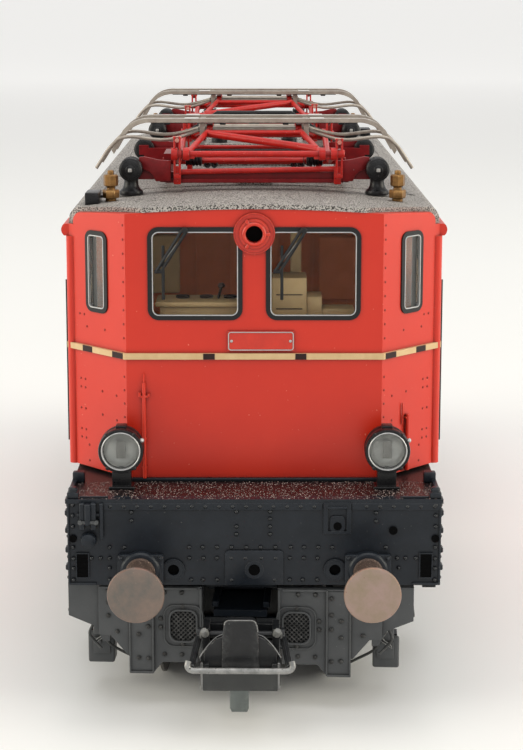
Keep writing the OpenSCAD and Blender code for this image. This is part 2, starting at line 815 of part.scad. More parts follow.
// Lower arm: base shaft, two side tubes, the knee tube with an eye at each tube, and levers
module lower_arm(end) {
    s = end == "a" ? -1 : 1;
    y0 = s * panto_shaft_offset;
    y1 = s * knee_y;
    color("red") {
        translate([0, y0, shaft_z]) rod_x(shaft_r, 2 * base_rail_x + 1);
        both_sides() strut([arm_x, y0, shaft_z], [arm_x, y1, knee_z], tube_r);
        translate([0, y1, knee_z]) rod_x(tube_r, 2 * arm_x + 0.6);
        both_sides() translate([arm_x, y1, knee_z]) rod_x(eye_r, eye_w);
        both_sides() translate([arm_x - lever_w / 2, y0 - lever_l / 2, shaft_z - 0.2])
            cube([lever_w, lever_l, lever_h]);
    }
}

brace_r = tube_r * 0.85;
diagonal_foot = 1.6;                                      // knee axis to the diagonal's foot
diagonal_head = 1.2;                                      // head pin to the diagonal's head
cross_tube_in = 1.5;                                      // head pin to the cross tube

// Upper arm: eyes on the knee tube and on the head pin, two tubes, and a diagonal
module upper_arm(end) {
    s = end == "a" ? -1 : 1;
    k = [upper_knee_x, s * knee_y, knee_z];
    h = [upper_head_x, s * panto_shaft_offset, head_z];
    u = (h - k) / norm(h - k);
    foot = k + u * diagonal_foot;
    cross = h - u * cross_tube_in;
    color("red") difference() {
        union() {
            both_sides() {
                strut(k + u * eye_r * 0.8, h - u * eye_r * 0.8, tube_r * 0.9);
                translate(k) rod_x(eye_r, eye_w);
                translate(h) rod_x(eye_r, eye_w);
            }
            // diagonal from the left side's head end to the right side's knee end
            mirror([1, 0, 0])
                strut([-foot[0], foot[1], foot[2]], h - u * diagonal_head, brace_r);
            // cross tube that keeps the frame square, just inside the head end
            translate([0, cross[1], cross[2]]) rod_x(brace_r, 2 * cross[0]);
        }
        translate([0, k[1], k[2]]) rod_x(tube_r + shaft_play, 30);
        translate([0, h[1], h[2]]) rod_x(tube_r + shaft_play, 30);
    }
}

bow_top = head_z + 1.15;
bow_flat = bow_w / 2 - 3.6;
bow_t = 0.4;
bow_depth = 1.1;
horn_drop = 3.1;
horn_r = 3.2;

// Half outline of a bow's centreline in X and Z: level, an arc, then a straight horn
function bow_line(flat, reach, drop, r) =
    let (a = 2 * atan2(drop, reach - flat))
    concat([for (i = [0 : 6]) let (b = a * 0.62 * i / 6) [flat + r * sin(b), -r * (1 - cos(b))]],
           [[reach, -drop]]);

function thicken(line, t) =
    concat([[0, t / 2]], [for (p = line) [p[0], p[1] + t / 2]],
           [for (i = [len(line) - 1 : -1 : 0]) [line[i][0] - t * 0.55 * min(1, i), line[i][1] - t / 2]],
           [[0, -t / 2]]);

module bow(flat, reach, drop, r, t, depth) {
    both_sides() translate([0, -depth / 2, 0]) upright(depth)
        polygon(thicken(bow_line(flat, reach, drop, r), t));
}

pan_side_x = upper_head_x + 0.75;
pan_side_t = 0.5;

module pan_head() {
    color("lightgray") {
        for (s = [-1, 1]) translate([0, s * bow_spacing / 2, bow_top - bow_t / 2])
            bow(bow_flat, bow_w / 2, horn_drop, horn_r, bow_t, bow_depth);
        // side plates that join the bows and carry the pins
        both_sides() translate([pan_side_x - pan_side_t / 2, -bow_spacing / 2, bow_top - bow_t - 0.3])
            cube([pan_side_t, bow_spacing, pan_side_t]);
        both_sides() translate([pan_side_x - pan_side_t / 2, -panto_shaft_offset - 2 * tube_r,
                                head_z - 2 * tube_r])
            cube([pan_side_t, 2 * (panto_shaft_offset + 2 * tube_r), 4 * tube_r]);
        for (s = [-1, 1]) translate([0, s * panto_shaft_offset, head_z])
            rod_x(tube_r, 2 * pan_side_x + 0.9);
    }
}

// ---------------------------------------------------------------- bogies
// Drawn about the pivot with the outer end at -Y.

module at_bogie(end) {
    rotate([0, 0, end]) translate([0, -pivot_y, 0]) rotate([0, 0, bogie_turn]) children();
}

block_half_w = back_to_back / 2 - 0.8;
block_l = wheelbase + 7;
block_top_z = frame_z - 0.2;
side_plate_x = back_to_back / 2 + wheel_w + 0.9;          // inner face of a side frame
side_plate_t = 0.9;
inner_end_y = wheelbase / 2 + 5.4;
guard_t = 0.7;
guard_top_z = deck_z - apron_h - 0.4;
guard_behind_apron = 0.4;                                 // guard's face behind the apron's face
guard_clear = 0.8;                                        // guard's back to the leading wheels' flanges
leading_edge = wheelbase / 2 + wheel_d / 2 + flange_h;    // of the outer wheels, from the pivot
guard_y = -max(apron_y - pivot_y - guard_behind_apron,
               leading_edge + guard_clear + guard_t);     // front face of the rail guard

module bogie_block() {
    color("dimgray") difference() {
        union() {
            translate([-block_half_w, -block_l / 2, axle_z - 3.6])
                cube([2 * block_half_w, block_l, 9.6]);
            translate([0, 0, axle_z]) cylinder(r = 4.2, h = block_top_z - axle_z);
        }
        for (s = [-1, 1]) translate([0, s * wheelbase / 2, axle_z])
            rod_x(axle_d / 2 + shaft_play, 2 * block_half_w + 2);
        translate([0, 0, frame_z - pivot_l - 0.3]) cylinder(r = pivot_r + shaft_play, h = 10);
    }
}

brake_cylinder_r = 1.5;
brake_cylinder_l = 1.4;
hanger_y = 4.6;                                           // beyond the outer axle
hanger_t = 1.4;
hanger_low_z = 2.2;
shoe_top_z = 5.2;                                         // the brake shoe's wider block

// Side frames with axle boxes and leaf springs, joined by cross stretchers to the block
module bogie_frame() {
    plate_z = axle_z - 0.6;
    plate_h = guard_top_z - plate_z;
    color("darkslategray") {
        both_sides() {
            translate([side_plate_x, guard_y + guard_t, plate_z])
                cube([side_plate_t, inner_end_y - guard_y - guard_t, plate_h]);
            for (s = [-1, 1]) translate([side_plate_x, s * wheelbase / 2, 0]) axle_box();
            // hanger of the outer brake shoe
            translate([side_plate_x + side_plate_t, -wheelbase / 2 - hanger_y, 0]) brake_hanger();
            // brake cylinder amidships
            translate([side_plate_x + side_plate_t, 0, plate_z + 1.9])
                rotate([0, 90, 0]) cylinder(r = brake_cylinder_r, h = brake_cylinder_l);
        }
        // arms from the block out to the side frames, between the wheels
        both_sides() translate([block_half_w, -1.5, axle_z + 0.4])
            cube([side_plate_x - block_half_w, 3, 1.6]);
    }
}

// Plate that hangs from the side frame, with a lower corner cut off
module brake_hanger() {
    rotate([90, 0, 0]) translate([0, 0, -hanger_t]) linear_extrude(hanger_t)
        polygon([[0, axle_z], [1.2, axle_z], [1.2, shoe_top_z], [2.4, shoe_top_z],
                 [2.4, hanger_low_z + 0.5], [2, hanger_low_z], [0.2, hanger_low_z],
                 [0.2, shoe_top_z - 0.2], [0, shoe_top_z - 0.2]]);
}

leaf_count = 5;
leaf_t = 0.42;
leaf_w = 1.1;
leaf_half_l = 4.6;                                        // of the longest leaf
leaf_step = 0.75;
shackle_w = 0.7;
box_side = 4.2;                                           // axle box, along
box_top = 4.3;                                            // axle box, upright
box_below = 2;                                            // its underside below the axle
box_proud = 0.9;
box_cap_r = 1.3;
box_cap_t = 0.5;

module axle_box() {
    translate([0, -box_side / 2, axle_z - box_below]) cube([side_plate_t + box_proud, box_side, box_top]);
    translate([side_plate_t + box_proud, 0, axle_z]) rotate([0, 90, 0])
        cylinder(r = box_cap_r, h = box_cap_t);
    // leaf spring under the box, each leaf shorter than the one above
    for (i = [0 : leaf_count - 1]) {
        half_l = leaf_half_l - i * leaf_step;
        translate([side_plate_t, -half_l, axle_z - box_below - (i + 1) * leaf_t])
            cube([leaf_w, 2 * half_l, leaf_t]);
    }
    for (s = [-1, 1])
        translate([side_plate_t + 0.1, s * box_side - shackle_w / 2, axle_z - box_below - leaf_t])
            cube([shackle_w, shackle_w, box_below + leaf_t + 1]);
}

guard_half_w = 12.7;
guard_gap = 3.8;                                          // half of the opening for the coupler
guard_low_z = guard_top_z - 7.1;
guard_foot_z = guard_top_z - 8.1;
foot_in = 7.75;                                           // inner and outer edge of a foot
foot_out = 9.93;
slant_in = 10.1;                                          // the slanted edge outside a foot
slant_out = 11.6;
strip_t = 0.2;
mesh_window_w = foot_in - guard_gap - 1.45;
mesh_window_h = 3;
mesh_window_z = guard_top_z - 3.65;
bay_wall_t = 0.4;
bay_wall_l = 3;

// Outline of the right half of the rail guard
function guard_outline() = [
    [guard_gap, guard_top_z], [guard_half_w, guard_top_z], [guard_half_w, guard_top_z - 4.6],
    [slant_out, guard_top_z - 4.7], [slant_in, guard_top_z - 6.5], [foot_out, guard_top_z - 6.5],
    [foot_out, guard_foot_z], [foot_in, guard_foot_z],
    [foot_in - 0.8, guard_low_z], [guard_gap, guard_low_z]
];

module rail_guard() {
    color("slategray") {
        both_sides() translate([0, guard_y, 0]) {
            difference() {
                upright(guard_t) polygon(guard_outline());
                translate([guard_gap + mesh_window_w / 2, -cut, mesh_window_z]) upright(cut + guard_t / 2)
                    round_rect(mesh_window_w, mesh_window_h, 0.8);
            }
            // doubling strip over the foot
            translate([0, -strip_t, 0]) upright(strip_t) polygon([[foot_in, guard_foot_z],
                [foot_out, guard_foot_z], [foot_out, guard_top_z], [foot_in, guard_top_z]]);
            // wall of the bay that the coupler swings in
            translate([guard_gap - bay_wall_t, 0, guard_low_z + 2.4])
                cube([bay_wall_t, bay_wall_l, guard_top_z - guard_low_z - 2.4]);
        }
        // sand boxes on the ends of the side frames
        both_sides() translate([side_plate_x + side_plate_t, guard_y + guard_t, 0])
            sand_box();
    }
}

sand_box_l = 4.5;
sand_box_out = 2.8;                                       // beyond the guard's edge
sand_box_side_z = 8.2;
sand_box_low_z = 5.8;

module sand_box() {
    w = guard_half_w + sand_box_out - side_plate_x - side_plate_t;
    rotate([90, 0, 0]) translate([0, 0, -sand_box_l]) linear_extrude(sand_box_l)
        polygon([[0, guard_top_z], [w, guard_top_z], [w, sand_box_side_z], [w - 2.4, sand_box_side_z - 1],
                 [w - 3.1, sand_box_low_z], [0, sand_box_low_z]]);
}

// ---------------------------------------------------------------- couplers
// In the bogie's own frame. The head swings about a pin in the bogie; the loop lifts about its pin.

buffer_face_y = -(apron_y - pivot_y) - buffer_reach;
coupler_pin_y = -(apron_y - pivot_y) + 5;
coupler_pin_r = 0.6;
coupler_z = axle_z - 1.1;                                 // middle of the shank
loop_bar_y = buffer_face_y - loop_reach;                  // front face of the loop's bar
loop_bar_z = coupler_z - 0.8;
loop_bar_t = 0.5;
loop_pin_y = loop_bar_y + 5;
loop_pin_z = coupler_z + 0.7;
head_half_w = 3.35;
cheek_t = 0.6;
cheek_gap = 0.15;
cheek_h = 2.3;                                            // low front part of a cheek
cheek_front = 1;                                          // tall part, ahead of and over the pin
cheek_over_pin = 0.8;
head_low_z = coupler_z - 2.9;
lip_y = loop_bar_y + 1.1;                                 // front face of the head's lip
lip_t = 0.5;
lip_h = 1.7;
hook_t = 0.6;
hook_top_z = loop_pin_z + 2.55;
hook_half_w = 1.2;
shank_half_w = 1.3;
shank_h = 1.4;
head_back_y = loop_pin_y + 0.9;

module at_coupler(end) {
    at_bogie(end) translate([0, coupler_pin_y, 0]) rotate([0, 0, coupler_turn])
        translate([0, -coupler_pin_y, 0]) children();
}

module coupler_head() {
    color("black") difference() {
        union() {
            // shank with the eye for the swing pin
            translate([-shank_half_w, head_back_y, coupler_z - shank_h / 2])
                cube([2 * shank_half_w, coupler_pin_y - head_back_y, shank_h]);
            translate([0, coupler_pin_y, coupler_z - shank_h / 2]) cylinder(r = shank_half_w, h = shank_h);
            // open box: back wall, two cheeks that rise round the loop's pin, front lip
            translate([-head_half_w, head_back_y, head_low_z + 1])
                cube([2 * head_half_w, cheek_t, loop_pin_z + 0.6 - head_low_z - 1]);
            both_sides() translate([head_half_w - cheek_t, lip_y, head_low_z])
                cube([cheek_t, head_back_y + cheek_t - lip_y, cheek_h]);
            both_sides() translate([head_half_w - cheek_t, loop_pin_y - cheek_front, head_low_z])
                cube([cheek_t, head_back_y + cheek_t - loop_pin_y + cheek_front,
                      loop_pin_z - head_low_z + cheek_over_pin]);
            translate([-head_half_w, lip_y, head_low_z]) cube([2 * head_half_w, lip_t, lip_h]);
            hook();
        }
        both_sides() translate([head_half_w - cheek_t / 2, loop_pin_y, loop_pin_z])
            rod_x(loop_pin_r + shaft_play, 2 * cheek_t);
        translate([0, coupler_pin_y, coupler_z - 2]) cylinder(r = coupler_pin_r + shaft_play, h = 4);
    }
}

// Upright horn behind the lip that a neighbour's loop drops over
module hook() {
    foot_half_w = hook_half_w + 0.45;
    shoulder_half_w = hook_half_w + 0.15;
    top_half_w = hook_half_w - 0.2;
    foot_z = head_low_z + 0.4;
    shoulder_z = hook_top_z - 0.35;
    translate([0, lip_y + lip_t, 0]) upright(hook_t)
        polygon([[-foot_half_w, foot_z], [foot_half_w, foot_z],
                 [shoulder_half_w, shoulder_z], [top_half_w, hook_top_z],
                 [-top_half_w, hook_top_z], [-shoulder_half_w, shoulder_z]]);
}

tongue_half_w = 1;
tongue_t = 0.4;
tongue_y = loop_pin_y - 1.6;
tongue_low_z = coupler_z - 5.9;
arm_t = 0.35;
arm_eye_r = 0.62;
arm_r = 0.25;

// Loop of sheet metal: hinge pin, two arms, the front bar, and the release tongue below
module coupler_loop() {
    arm_in = head_half_w + cheek_gap;
    bar_half_w = loop_w / 2;
    color("gray") {
        translate([0, loop_pin_y, loop_pin_z]) rod_x(loop_pin_r, 2 * (arm_in + arm_t) + 0.4);
        both_sides() {
            // arm: a cheek on the pin, then a strip out to the bar's end
            translate([arm_in, loop_pin_y, loop_pin_z]) rotate([0, 90, 0])
                cylinder(r = arm_eye_r, h = arm_t);
            strut([arm_in + arm_t / 2 + 0.05, loop_pin_y, loop_pin_z - 0.1],
                  [bar_half_w - 0.3, loop_bar_y + loop_bar_t / 2, loop_bar_z], arm_r);
            translate([bar_half_w - loop_bar_t, loop_bar_y + loop_bar_t, loop_bar_z - loop_bar_t / 2])
                cylinder(r = loop_bar_t, h = loop_bar_t);
        }
        translate([-bar_half_w + loop_bar_t, loop_bar_y, loop_bar_z - loop_bar_t / 2])
            cube([2 * (bar_half_w - loop_bar_t), loop_bar_t, loop_bar_t]);
        // release tongue: forward from the pin, then straight down behind the lip
        translate([-tongue_half_w, tongue_y, loop_pin_z - 0.2])
            cube([2 * tongue_half_w, loop_pin_y - tongue_y, tongue_t]);
        translate([-tongue_half_w, tongue_y, tongue_low_z])
            cube([2 * tongue_half_w, tongue_t, loop_pin_z - tongue_low_z]);
    }
}

pocket_w = 4.8;
pocket_t = 0.6;
pocket_up = 0.9;                                          // pocket's underside above the shank's middle

// Pocket and swing pin under the bogie block's outer end, part of the bogie frame
module coupler_pocket() {
    color("darkslategray") {
        translate([-pocket_w / 2, guard_y + guard_t, coupler_z + pocket_up])
            cube([pocket_w, -block_l / 2 - guard_y - guard_t, pocket_t]);
        translate([0, coupler_pin_y, coupler_z - pocket_up]) cylinder(r = coupler_pin_r, h = 1.9);
    }
}

// ---------------------------------------------------------------- wheelsets

spokes = 10;
rim_t = 1.3;
hub_r = 2.1;
spoke_w = 0.9;
spoke_t = 1.1;
spoke_in = 0.9;                                           // spokes' back face in from the wheel's
spoke_foot = 1.5;                                         // spokes start inside the hub
flange_back = 0.2;                                        // flange's back face, its tip and its root
flange_tip = 0.45;
flange_root = 1.1;

// One wheel, back face at the origin, outer face towards +X
module wheel() {
    r = wheel_d / 2;
    rotate([0, 90, 0]) {
        rotate_extrude($fn = 96) polygon([
            [r - rim_t, flange_back], [r + flange_h, flange_back], [r + flange_h, flange_tip],
            [r + 0.15, 0.85], [r, flange_root], [r - 0.05, wheel_w], [r - rim_t, wheel_w]]);
        cylinder(r = hub_r, h = wheel_w);
        translate([0, 0, spoke_in]) for (i = [0 : spokes - 1]) rotate([0, 0, i * 360 / spokes])
            translate([spoke_foot, -spoke_w / 2, 0]) cube([r - rim_t - spoke_foot + 0.3, spoke_w, spoke_t]);
    }
}

module wheelset() {
    color("silver") {
        rod_x(axle_d / 2, back_to_back + 2 * wheel_w + 0.6);
        both_sides() translate([back_to_back / 2, 0, 0]) wheel();
    }
}

module at_axle(end, s) { at_bogie(end) translate([0, s * wheelbase / 2, axle_z]) children(); }

// ---------------------------------------------------------------- nodes

body_shell();
roof();
main_frame();
apron();  // apron_front
rotate([0, 0, REAR]) apron();  // apron_rear
drive_block();
end_glass();
side_glass();
window_frames();
wipers();
cab_interiors();
waist_rail();
number_plates();
handrails();
door_steps();
platform_lamps();
top_lamps();
lamp_lenses();
buffers();
whistles();
roof_box();
roof_busbar();
pantograph_insulators();
at_panto(FRONT) pantograph_base();  // pantograph_base_front
at_panto(REAR) pantograph_base();  // pantograph_base_rear
at_panto(FRONT) lower_arm("a");  // lower_arm_a_front
at_panto(FRONT) lower_arm("b");  // lower_arm_b_front
at_panto(FRONT) upper_arm("a");  // upper_arm_a_front
at_panto(FRONT) upper_arm("b");  // upper_arm_b_front
at_panto(FRONT) pan_head();  // pan_head_front
at_panto(REAR) lower_arm("a");  // lower_arm_a_rear
at_panto(REAR) lower_arm("b");  // lower_arm_b_rear
at_panto(REAR) upper_arm("a");  // upper_arm_a_rear
at_panto(REAR) upper_arm("b");  // upper_arm_b_rear
at_panto(REAR) pan_head();  // pan_head_rear
at_bogie(FRONT) bogie_block();  // bogie_block_front
at_bogie(FRONT) { bogie_frame(); coupler_pocket(); }  // bogie_frame_front
at_bogie(FRONT) rail_guard();  // rail_guard_front
at_coupler(FRONT) coupler_head();  // coupler_head_front
at_coupler(FRONT) coupler_loop();  // coupler_loop_front
at_bogie(REAR) bogie_block();  // bogie_block_rear
at_bogie(REAR) { bogie_frame(); coupler_pocket(); }  // bogie_frame_rear
at_bogie(REAR) rail_guard();  // rail_guard_rear
at_coupler(REAR) coupler_head();  // coupler_head_rear
at_coupler(REAR) coupler_loop();  // coupler_loop_rear
at_axle(FRONT, -1) wheelset();  // wheelset_1
at_axle(FRONT, 1) wheelset();  // wheelset_2
at_axle(REAR, 1) wheelset();  // wheelset_3
at_axle(REAR, -1) wheelset();  // wheelset_4
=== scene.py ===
import json
import math
import bmesh
import bpy
from mathutils import Matrix, Vector


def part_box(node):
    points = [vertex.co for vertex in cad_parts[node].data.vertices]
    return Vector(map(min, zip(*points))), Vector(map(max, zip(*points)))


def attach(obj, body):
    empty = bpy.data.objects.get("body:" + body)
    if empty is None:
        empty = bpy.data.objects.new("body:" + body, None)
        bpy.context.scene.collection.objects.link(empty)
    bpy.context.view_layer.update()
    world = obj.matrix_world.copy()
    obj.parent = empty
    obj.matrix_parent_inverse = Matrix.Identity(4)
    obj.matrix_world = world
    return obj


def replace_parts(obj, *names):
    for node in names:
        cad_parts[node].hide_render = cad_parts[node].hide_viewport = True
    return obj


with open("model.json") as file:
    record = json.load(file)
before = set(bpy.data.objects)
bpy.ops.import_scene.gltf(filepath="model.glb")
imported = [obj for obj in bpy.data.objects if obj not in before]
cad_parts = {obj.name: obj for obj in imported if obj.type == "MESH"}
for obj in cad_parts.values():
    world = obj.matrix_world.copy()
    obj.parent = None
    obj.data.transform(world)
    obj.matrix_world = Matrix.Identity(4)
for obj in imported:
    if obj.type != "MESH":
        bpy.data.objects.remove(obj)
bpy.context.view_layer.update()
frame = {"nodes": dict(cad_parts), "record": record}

# Lengths below are millimetres in the frame of the CAD; a piece's mesh is made in metres at the end.
MM = 0.001
FRONT, REAR = 0, 180
ENDS = (("front", FRONT), ("rear", REAR))
SIDES = (-1, 1)
HERE, FORWARD, UP = (0, 0, 0), (0, -1, 0), (0, 0, 1)
joints = {j["name"]: j for j in frame["record"]["behaviour"]["joints"]}


def low(node):
    return Vector(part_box(node)[0]) / MM


def high(node):
    return Vector(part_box(node)[1]) / MM


def joint_place(name):
    return Vector(joints[name]["pos_m"]) / MM


def turn_about_z(degrees):
    return Matrix.Rotation(math.radians(degrees), 4, "Z")


# ------------------------------------------------------------ main heights and faces
LIP = 0.15                                   # how far the deck's lip stands over the apron
deck_z = high("apron_front").z
apron_low_z = low("apron_front").z
apron_y = -low("apron_front").y - LIP
cab_y = -low("body_shell").y
half_w = high("waist_rail").x - 0.3
waist_z = (low("waist_rail").z + high("waist_rail").z) / 2
corner_x = 11.55                             # where an end's middle panel meets the slanted one
side_y = cab_y - 5.6                         # where the slanted panel meets the side wall
base_z = low("body_shell").z
eaves_z = 42.5
crown_z = high("roof").z
arch_r = 150
pivot_y = -joint_place("bogie_swivel_front").y
bogie_turn = math.degrees(math.atan2(joints["axle_1"]["axis"][1], joints["axle_1"]["axis"][0]))
axle_z = joint_place("axle_1").z
coupler_turn = 2.3
coupler_pin_y = -(apron_y - pivot_y) + 5
panto_y = -(joint_place("panto_raise_front").y + joint_place("shaft_b_front").y) / 2
shaft_z = joint_place("panto_raise_front").z
knee_z = joint_place("knee_a_front").z
knee_y = -(joint_place("knee_a_front").y + panto_y)
head_z = joint_place("head_tilt_front").z
guard_y = -(apron_y - pivot_y) + 1.1 - 0.7   # front face of the rail guard, from the bogie's pivot
guard_top_z = apron_low_z - 0.4


def arch_z(x):
    return crown_z - (arch_r - math.sqrt(arch_r * arch_r - x * x))


def on_end(end):
    return turn_about_z(end)


def on_bogie(end):
    return turn_about_z(end) @ Matrix.Translation((0, -pivot_y, 0)) @ turn_about_z(bogie_turn)


def on_coupler(end):
    return (on_bogie(end) @ Matrix.Translation((0, coupler_pin_y, 0)) @ turn_about_z(coupler_turn)
            @ Matrix.Translation((0, -coupler_pin_y, 0)))


def on_panto(end):
    return turn_about_z(end) @ Matrix.Translation((0, -panto_y, 0))


# Origin in the middle of the slanted corner panel; X runs along it outwards, -Y is its face
def on_corner(end, side):
    run = Vector((half_w - corner_x, cab_y - side_y, 0))
    middle = Vector(((corner_x + half_w) / 2, -(cab_y + side_y) / 2, 0))
    along = math.atan2(run.y, run.x)
    place = Matrix.Translation(middle) @ Matrix.Rotation(along, 4, "Z")
    if side < 0:
        place = Matrix.Scale(-1, 4, (1, 0, 0)) @ place
    return turn_about_z(end) @ place


corner_half = math.hypot(half_w - corner_x, cab_y - side_y) / 2


# Origin on a side wall; X runs along the wall, -Y is its outer face
def on_wall(side, y=0):
    return Matrix.Translation((side * half_w, y, 0)) @ turn_about_z(90 * side)


# ------------------------------------------------------------ node helpers
def link(tree, source, target):
    tree.links.new(source, target)


def feed(tree, target, value):
    if isinstance(value, bpy.types.NodeSocket):
        link(tree, value, target)
    elif isinstance(value, (tuple, list)) and len(value) == 3 and target.type == "RGBA":
        target.default_value = (*value, 1)
    else:
        target.default_value = value


def add(tree, kind, inputs=None, **settings):
    node = tree.nodes.new(kind)
    for key, value in settings.items():
        setattr(node, key, value)
    for key, value in (inputs or {}).items():
        feed(tree, node.inputs[key], value)
    return node


def maths(tree, operation, *values, clamp=False):
    node = add(tree, "ShaderNodeMath", operation=operation, use_clamp=clamp)
    for socket, value in zip(node.inputs, values):
        feed(tree, socket, value)
    return node.outputs[0]


def blend(tree, factor, first, second, mode="MIX"):
    node = add(tree, "ShaderNodeMix", data_type="RGBA", blend_type=mode)
    feed(tree, node.inputs["Factor"], factor)
    feed(tree, node.inputs[6], first)
    feed(tree, node.inputs[7], second)
    return node.outputs[2]


def spread(tree, value, low_in, high_in, low_out=0.0, high_out=1.0):
    node = add(tree, "ShaderNodeMapRange", {"Value": value, "From Min": low_in, "From Max": high_in,
                                            "To Min": low_out, "To Max": high_out})
    return node.outputs[0]


def noise(tree, place, scale, detail=3.0, roughness=0.6):
    return add(tree, "ShaderNodeTexNoise", {"Vector": place, "Scale": scale, "Detail": detail,
                                            "Roughness": roughness}).outputs[0]


def new_sockets(group, inputs, outputs):
    for name, kind, value in inputs:
        socket = group.interface.new_socket(name, in_out="INPUT", socket_type=kind)
        if value is not None:
            socket.default_value = value
    for name, kind in outputs:
        group.interface.new_socket(name, in_out="OUTPUT", socket_type=kind)


# Object coordinates in millimetres
def place_in_mm(tree):
    coords = add(tree, "ShaderNodeTexCoord").outputs["Object"]
    scaled = add(tree, "ShaderNodeVectorMath", operation="SCALE")
    link(tree, coords, scaled.inputs[0])
    scaled.inputs["Scale"].default_value = 1 / MM
    return scaled.outputs[0]


# ------------------------------------------------------------ shader groups
FLOAT, COLOUR = "NodeSocketFloat", "NodeSocketColor"


# Finish with soft patches, dirt and painted shade in creases, worn edges, fine specks and a grain in its
# height
def worn_finish_group():
    group = bpy.data.node_groups.new("worn finish", "ShaderNodeTree")
    new_sockets(group, [
        ("Colour", COLOUR, (0.5, 0.5, 0.5, 1)), ("Patch Colour", COLOUR, (0.4, 0.4, 0.4, 1)),
        ("Patch Size", FLOAT, 4.0), ("Patch Amount", FLOAT, 0.3),
        ("Dirt Colour", COLOUR, (0.05, 0.04, 0.03, 1)), ("Dirt Amount", FLOAT, 0.3),
        ("Crease", FLOAT, 0.4), ("Edge Colour", COLOUR, (0.6, 0.6, 0.6, 1)),
        ("Edge Amount", FLOAT, 0.2), ("Edge Width", FLOAT, 0.06),
        ("Speck Colour", COLOUR, (0.7, 0.7, 0.7, 1)), ("Speck Size", FLOAT, 0.2),
        ("Speck Amount", FLOAT, 0.0), ("Roughness", FLOAT, 0.5), ("Roughness Change", FLOAT, 0.1),
        ("Grain Size", FLOAT, 0.15)],
        [("Colour", COLOUR), ("Roughness", FLOAT), ("Height", FLOAT), ("Edge", FLOAT)])
    sockets = add(group, "NodeGroupInput").outputs
    place = place_in_mm(group)
    patch = noise(group, place, maths(group, "DIVIDE", 1.0, sockets["Patch Size"]), 4.0, 0.65)
    patch = maths(group, "MULTIPLY", spread(group, patch, 0.35, 0.7), sockets["Patch Amount"])
    colour = blend(group, patch, sockets["Colour"], sockets["Patch Colour"])
    speck = noise(group, place, maths(group, "DIVIDE", 1.0, sockets["Speck Size"]), 1.5, 0.5)
    level = maths(group, "SUBTRACT", 0.78, maths(group, "MULTIPLY", sockets["Speck Amount"], 0.3))
    speck = maths(group, "MULTIPLY", maths(group, "SUBTRACT", speck, level), 14.0, clamp=True)
    colour = blend(group, speck, colour, sockets["Speck Colour"])
    # Dirt and painted shade: ambient occlusion darkens creases, corners and the feet of parts towards the
    # colour given for them
    crease = add(group, "ShaderNodeAmbientOcclusion",
                 {"Distance": maths(group, "MULTIPLY", sockets["Crease"], MM)}, samples=6).outputs["AO"]
    dirt_and_shade = maths(group, "SUBTRACT", 1.0, crease)
    dirt_and_shade = maths(group, "MULTIPLY", spread(group, dirt_and_shade, 0.1, 0.75), sockets["Dirt Amount"], clamp=True)
    colour = blend(group, dirt_and_shade, colour, sockets["Dirt Colour"])
    rounded = add(group, "ShaderNodeBevel",
                  {"Radius": maths(group, "MULTIPLY", sockets["Edge Width"], MM)}, samples=4)
    flat = add(group, "ShaderNodeNewGeometry").outputs["True Normal"]
    turned = add(group, "ShaderNodeVectorMath", operation="DOT_PRODUCT")
    link(group, rounded.outputs[0], turned.inputs[0])
    link(group, flat, turned.inputs[1])
    edge = spread(group, turned.outputs["Value"], 0.995, 0.9)
    scuffs = spread(group, noise(group, place, 2.2, 5.0, 0.75), 0.42, 0.6)
    edge = maths(group, "MULTIPLY", maths(group, "MULTIPLY", edge, scuffs), sockets["Edge Amount"],
                 clamp=True)
    colour = blend(group, edge, colour, sockets["Edge Colour"])
    grain = noise(group, place, maths(group, "DIVIDE", 1.0, sockets["Grain Size"]), 2.0, 0.6)
    rough = maths(group, "ADD", sockets["Roughness"],
                  maths(group, "MULTIPLY", maths(group, "SUBTRACT", grain, 0.5), sockets["Roughness Change"]))
    rough = maths(group, "ADD", rough, maths(group, "MULTIPLY", dirt_and_shade, 0.25), clamp=True)
    out = add(group, "NodeGroupOutput")
    link(group, colour, out.inputs["Colour"])
    link(group, rough, out.inputs["Roughness"])
    link(group, maths(group, "SUBTRACT", grain, maths(group, "MULTIPLY", speck, 0.5)), out.inputs["Height"])
    link(group, edge, out.inputs["Edge"])
    return group


worn_finish = worn_finish_group()


# A finish from the group above; bump is the grain's depth in millimetres
def make_finish(name, colour, patch, rough=0.5, metal=0.0, coat=0.0, coat_rough=0.2, bump=0.01,
                specular=0.5, bare_edges=False, **values):
    material = bpy.data.materials.new(name)
    material.use_nodes = True
    tree = material.node_tree
    shader = tree.nodes["Principled BSDF"]
    wear = add(tree, "ShaderNodeGroup", node_tree=worn_finish)
    wear.inputs["Colour"].default_value = (*colour, 1)
    wear.inputs["Patch Colour"].default_value = (*patch, 1)
    wear.inputs["Roughness"].default_value = rough
    for key, value in values.items():
        feed(tree, wear.inputs[key.replace("_", " ")], value)
    link(tree, wear.outputs["Colour"], shader.inputs["Base Color"])
    link(tree, wear.outputs["Roughness"], shader.inputs["Roughness"])
    shader.inputs["Metallic"].default_value = metal
    if bare_edges:
        link(tree, wear.outputs["Edge"], shader.inputs["Metallic"])
    shader.inputs["Coat Weight"].default_value = coat
    shader.inputs["Coat Roughness"].default_value = coat_rough
    shader.inputs["Specular IOR Level"].default_value = specular
    relief = add(tree, "ShaderNodeBump", {"Height": wear.outputs["Height"], "Distance": bump * MM,
                                          "Strength": 1.0})
    soft = add(tree, "ShaderNodeBevel", {"Radius": 0.05 * MM}, samples=4)
    link(tree, soft.outputs[0], relief.inputs["Normal"])
    link(tree, relief.outputs[0], shader.inputs["Normal"])
    return material


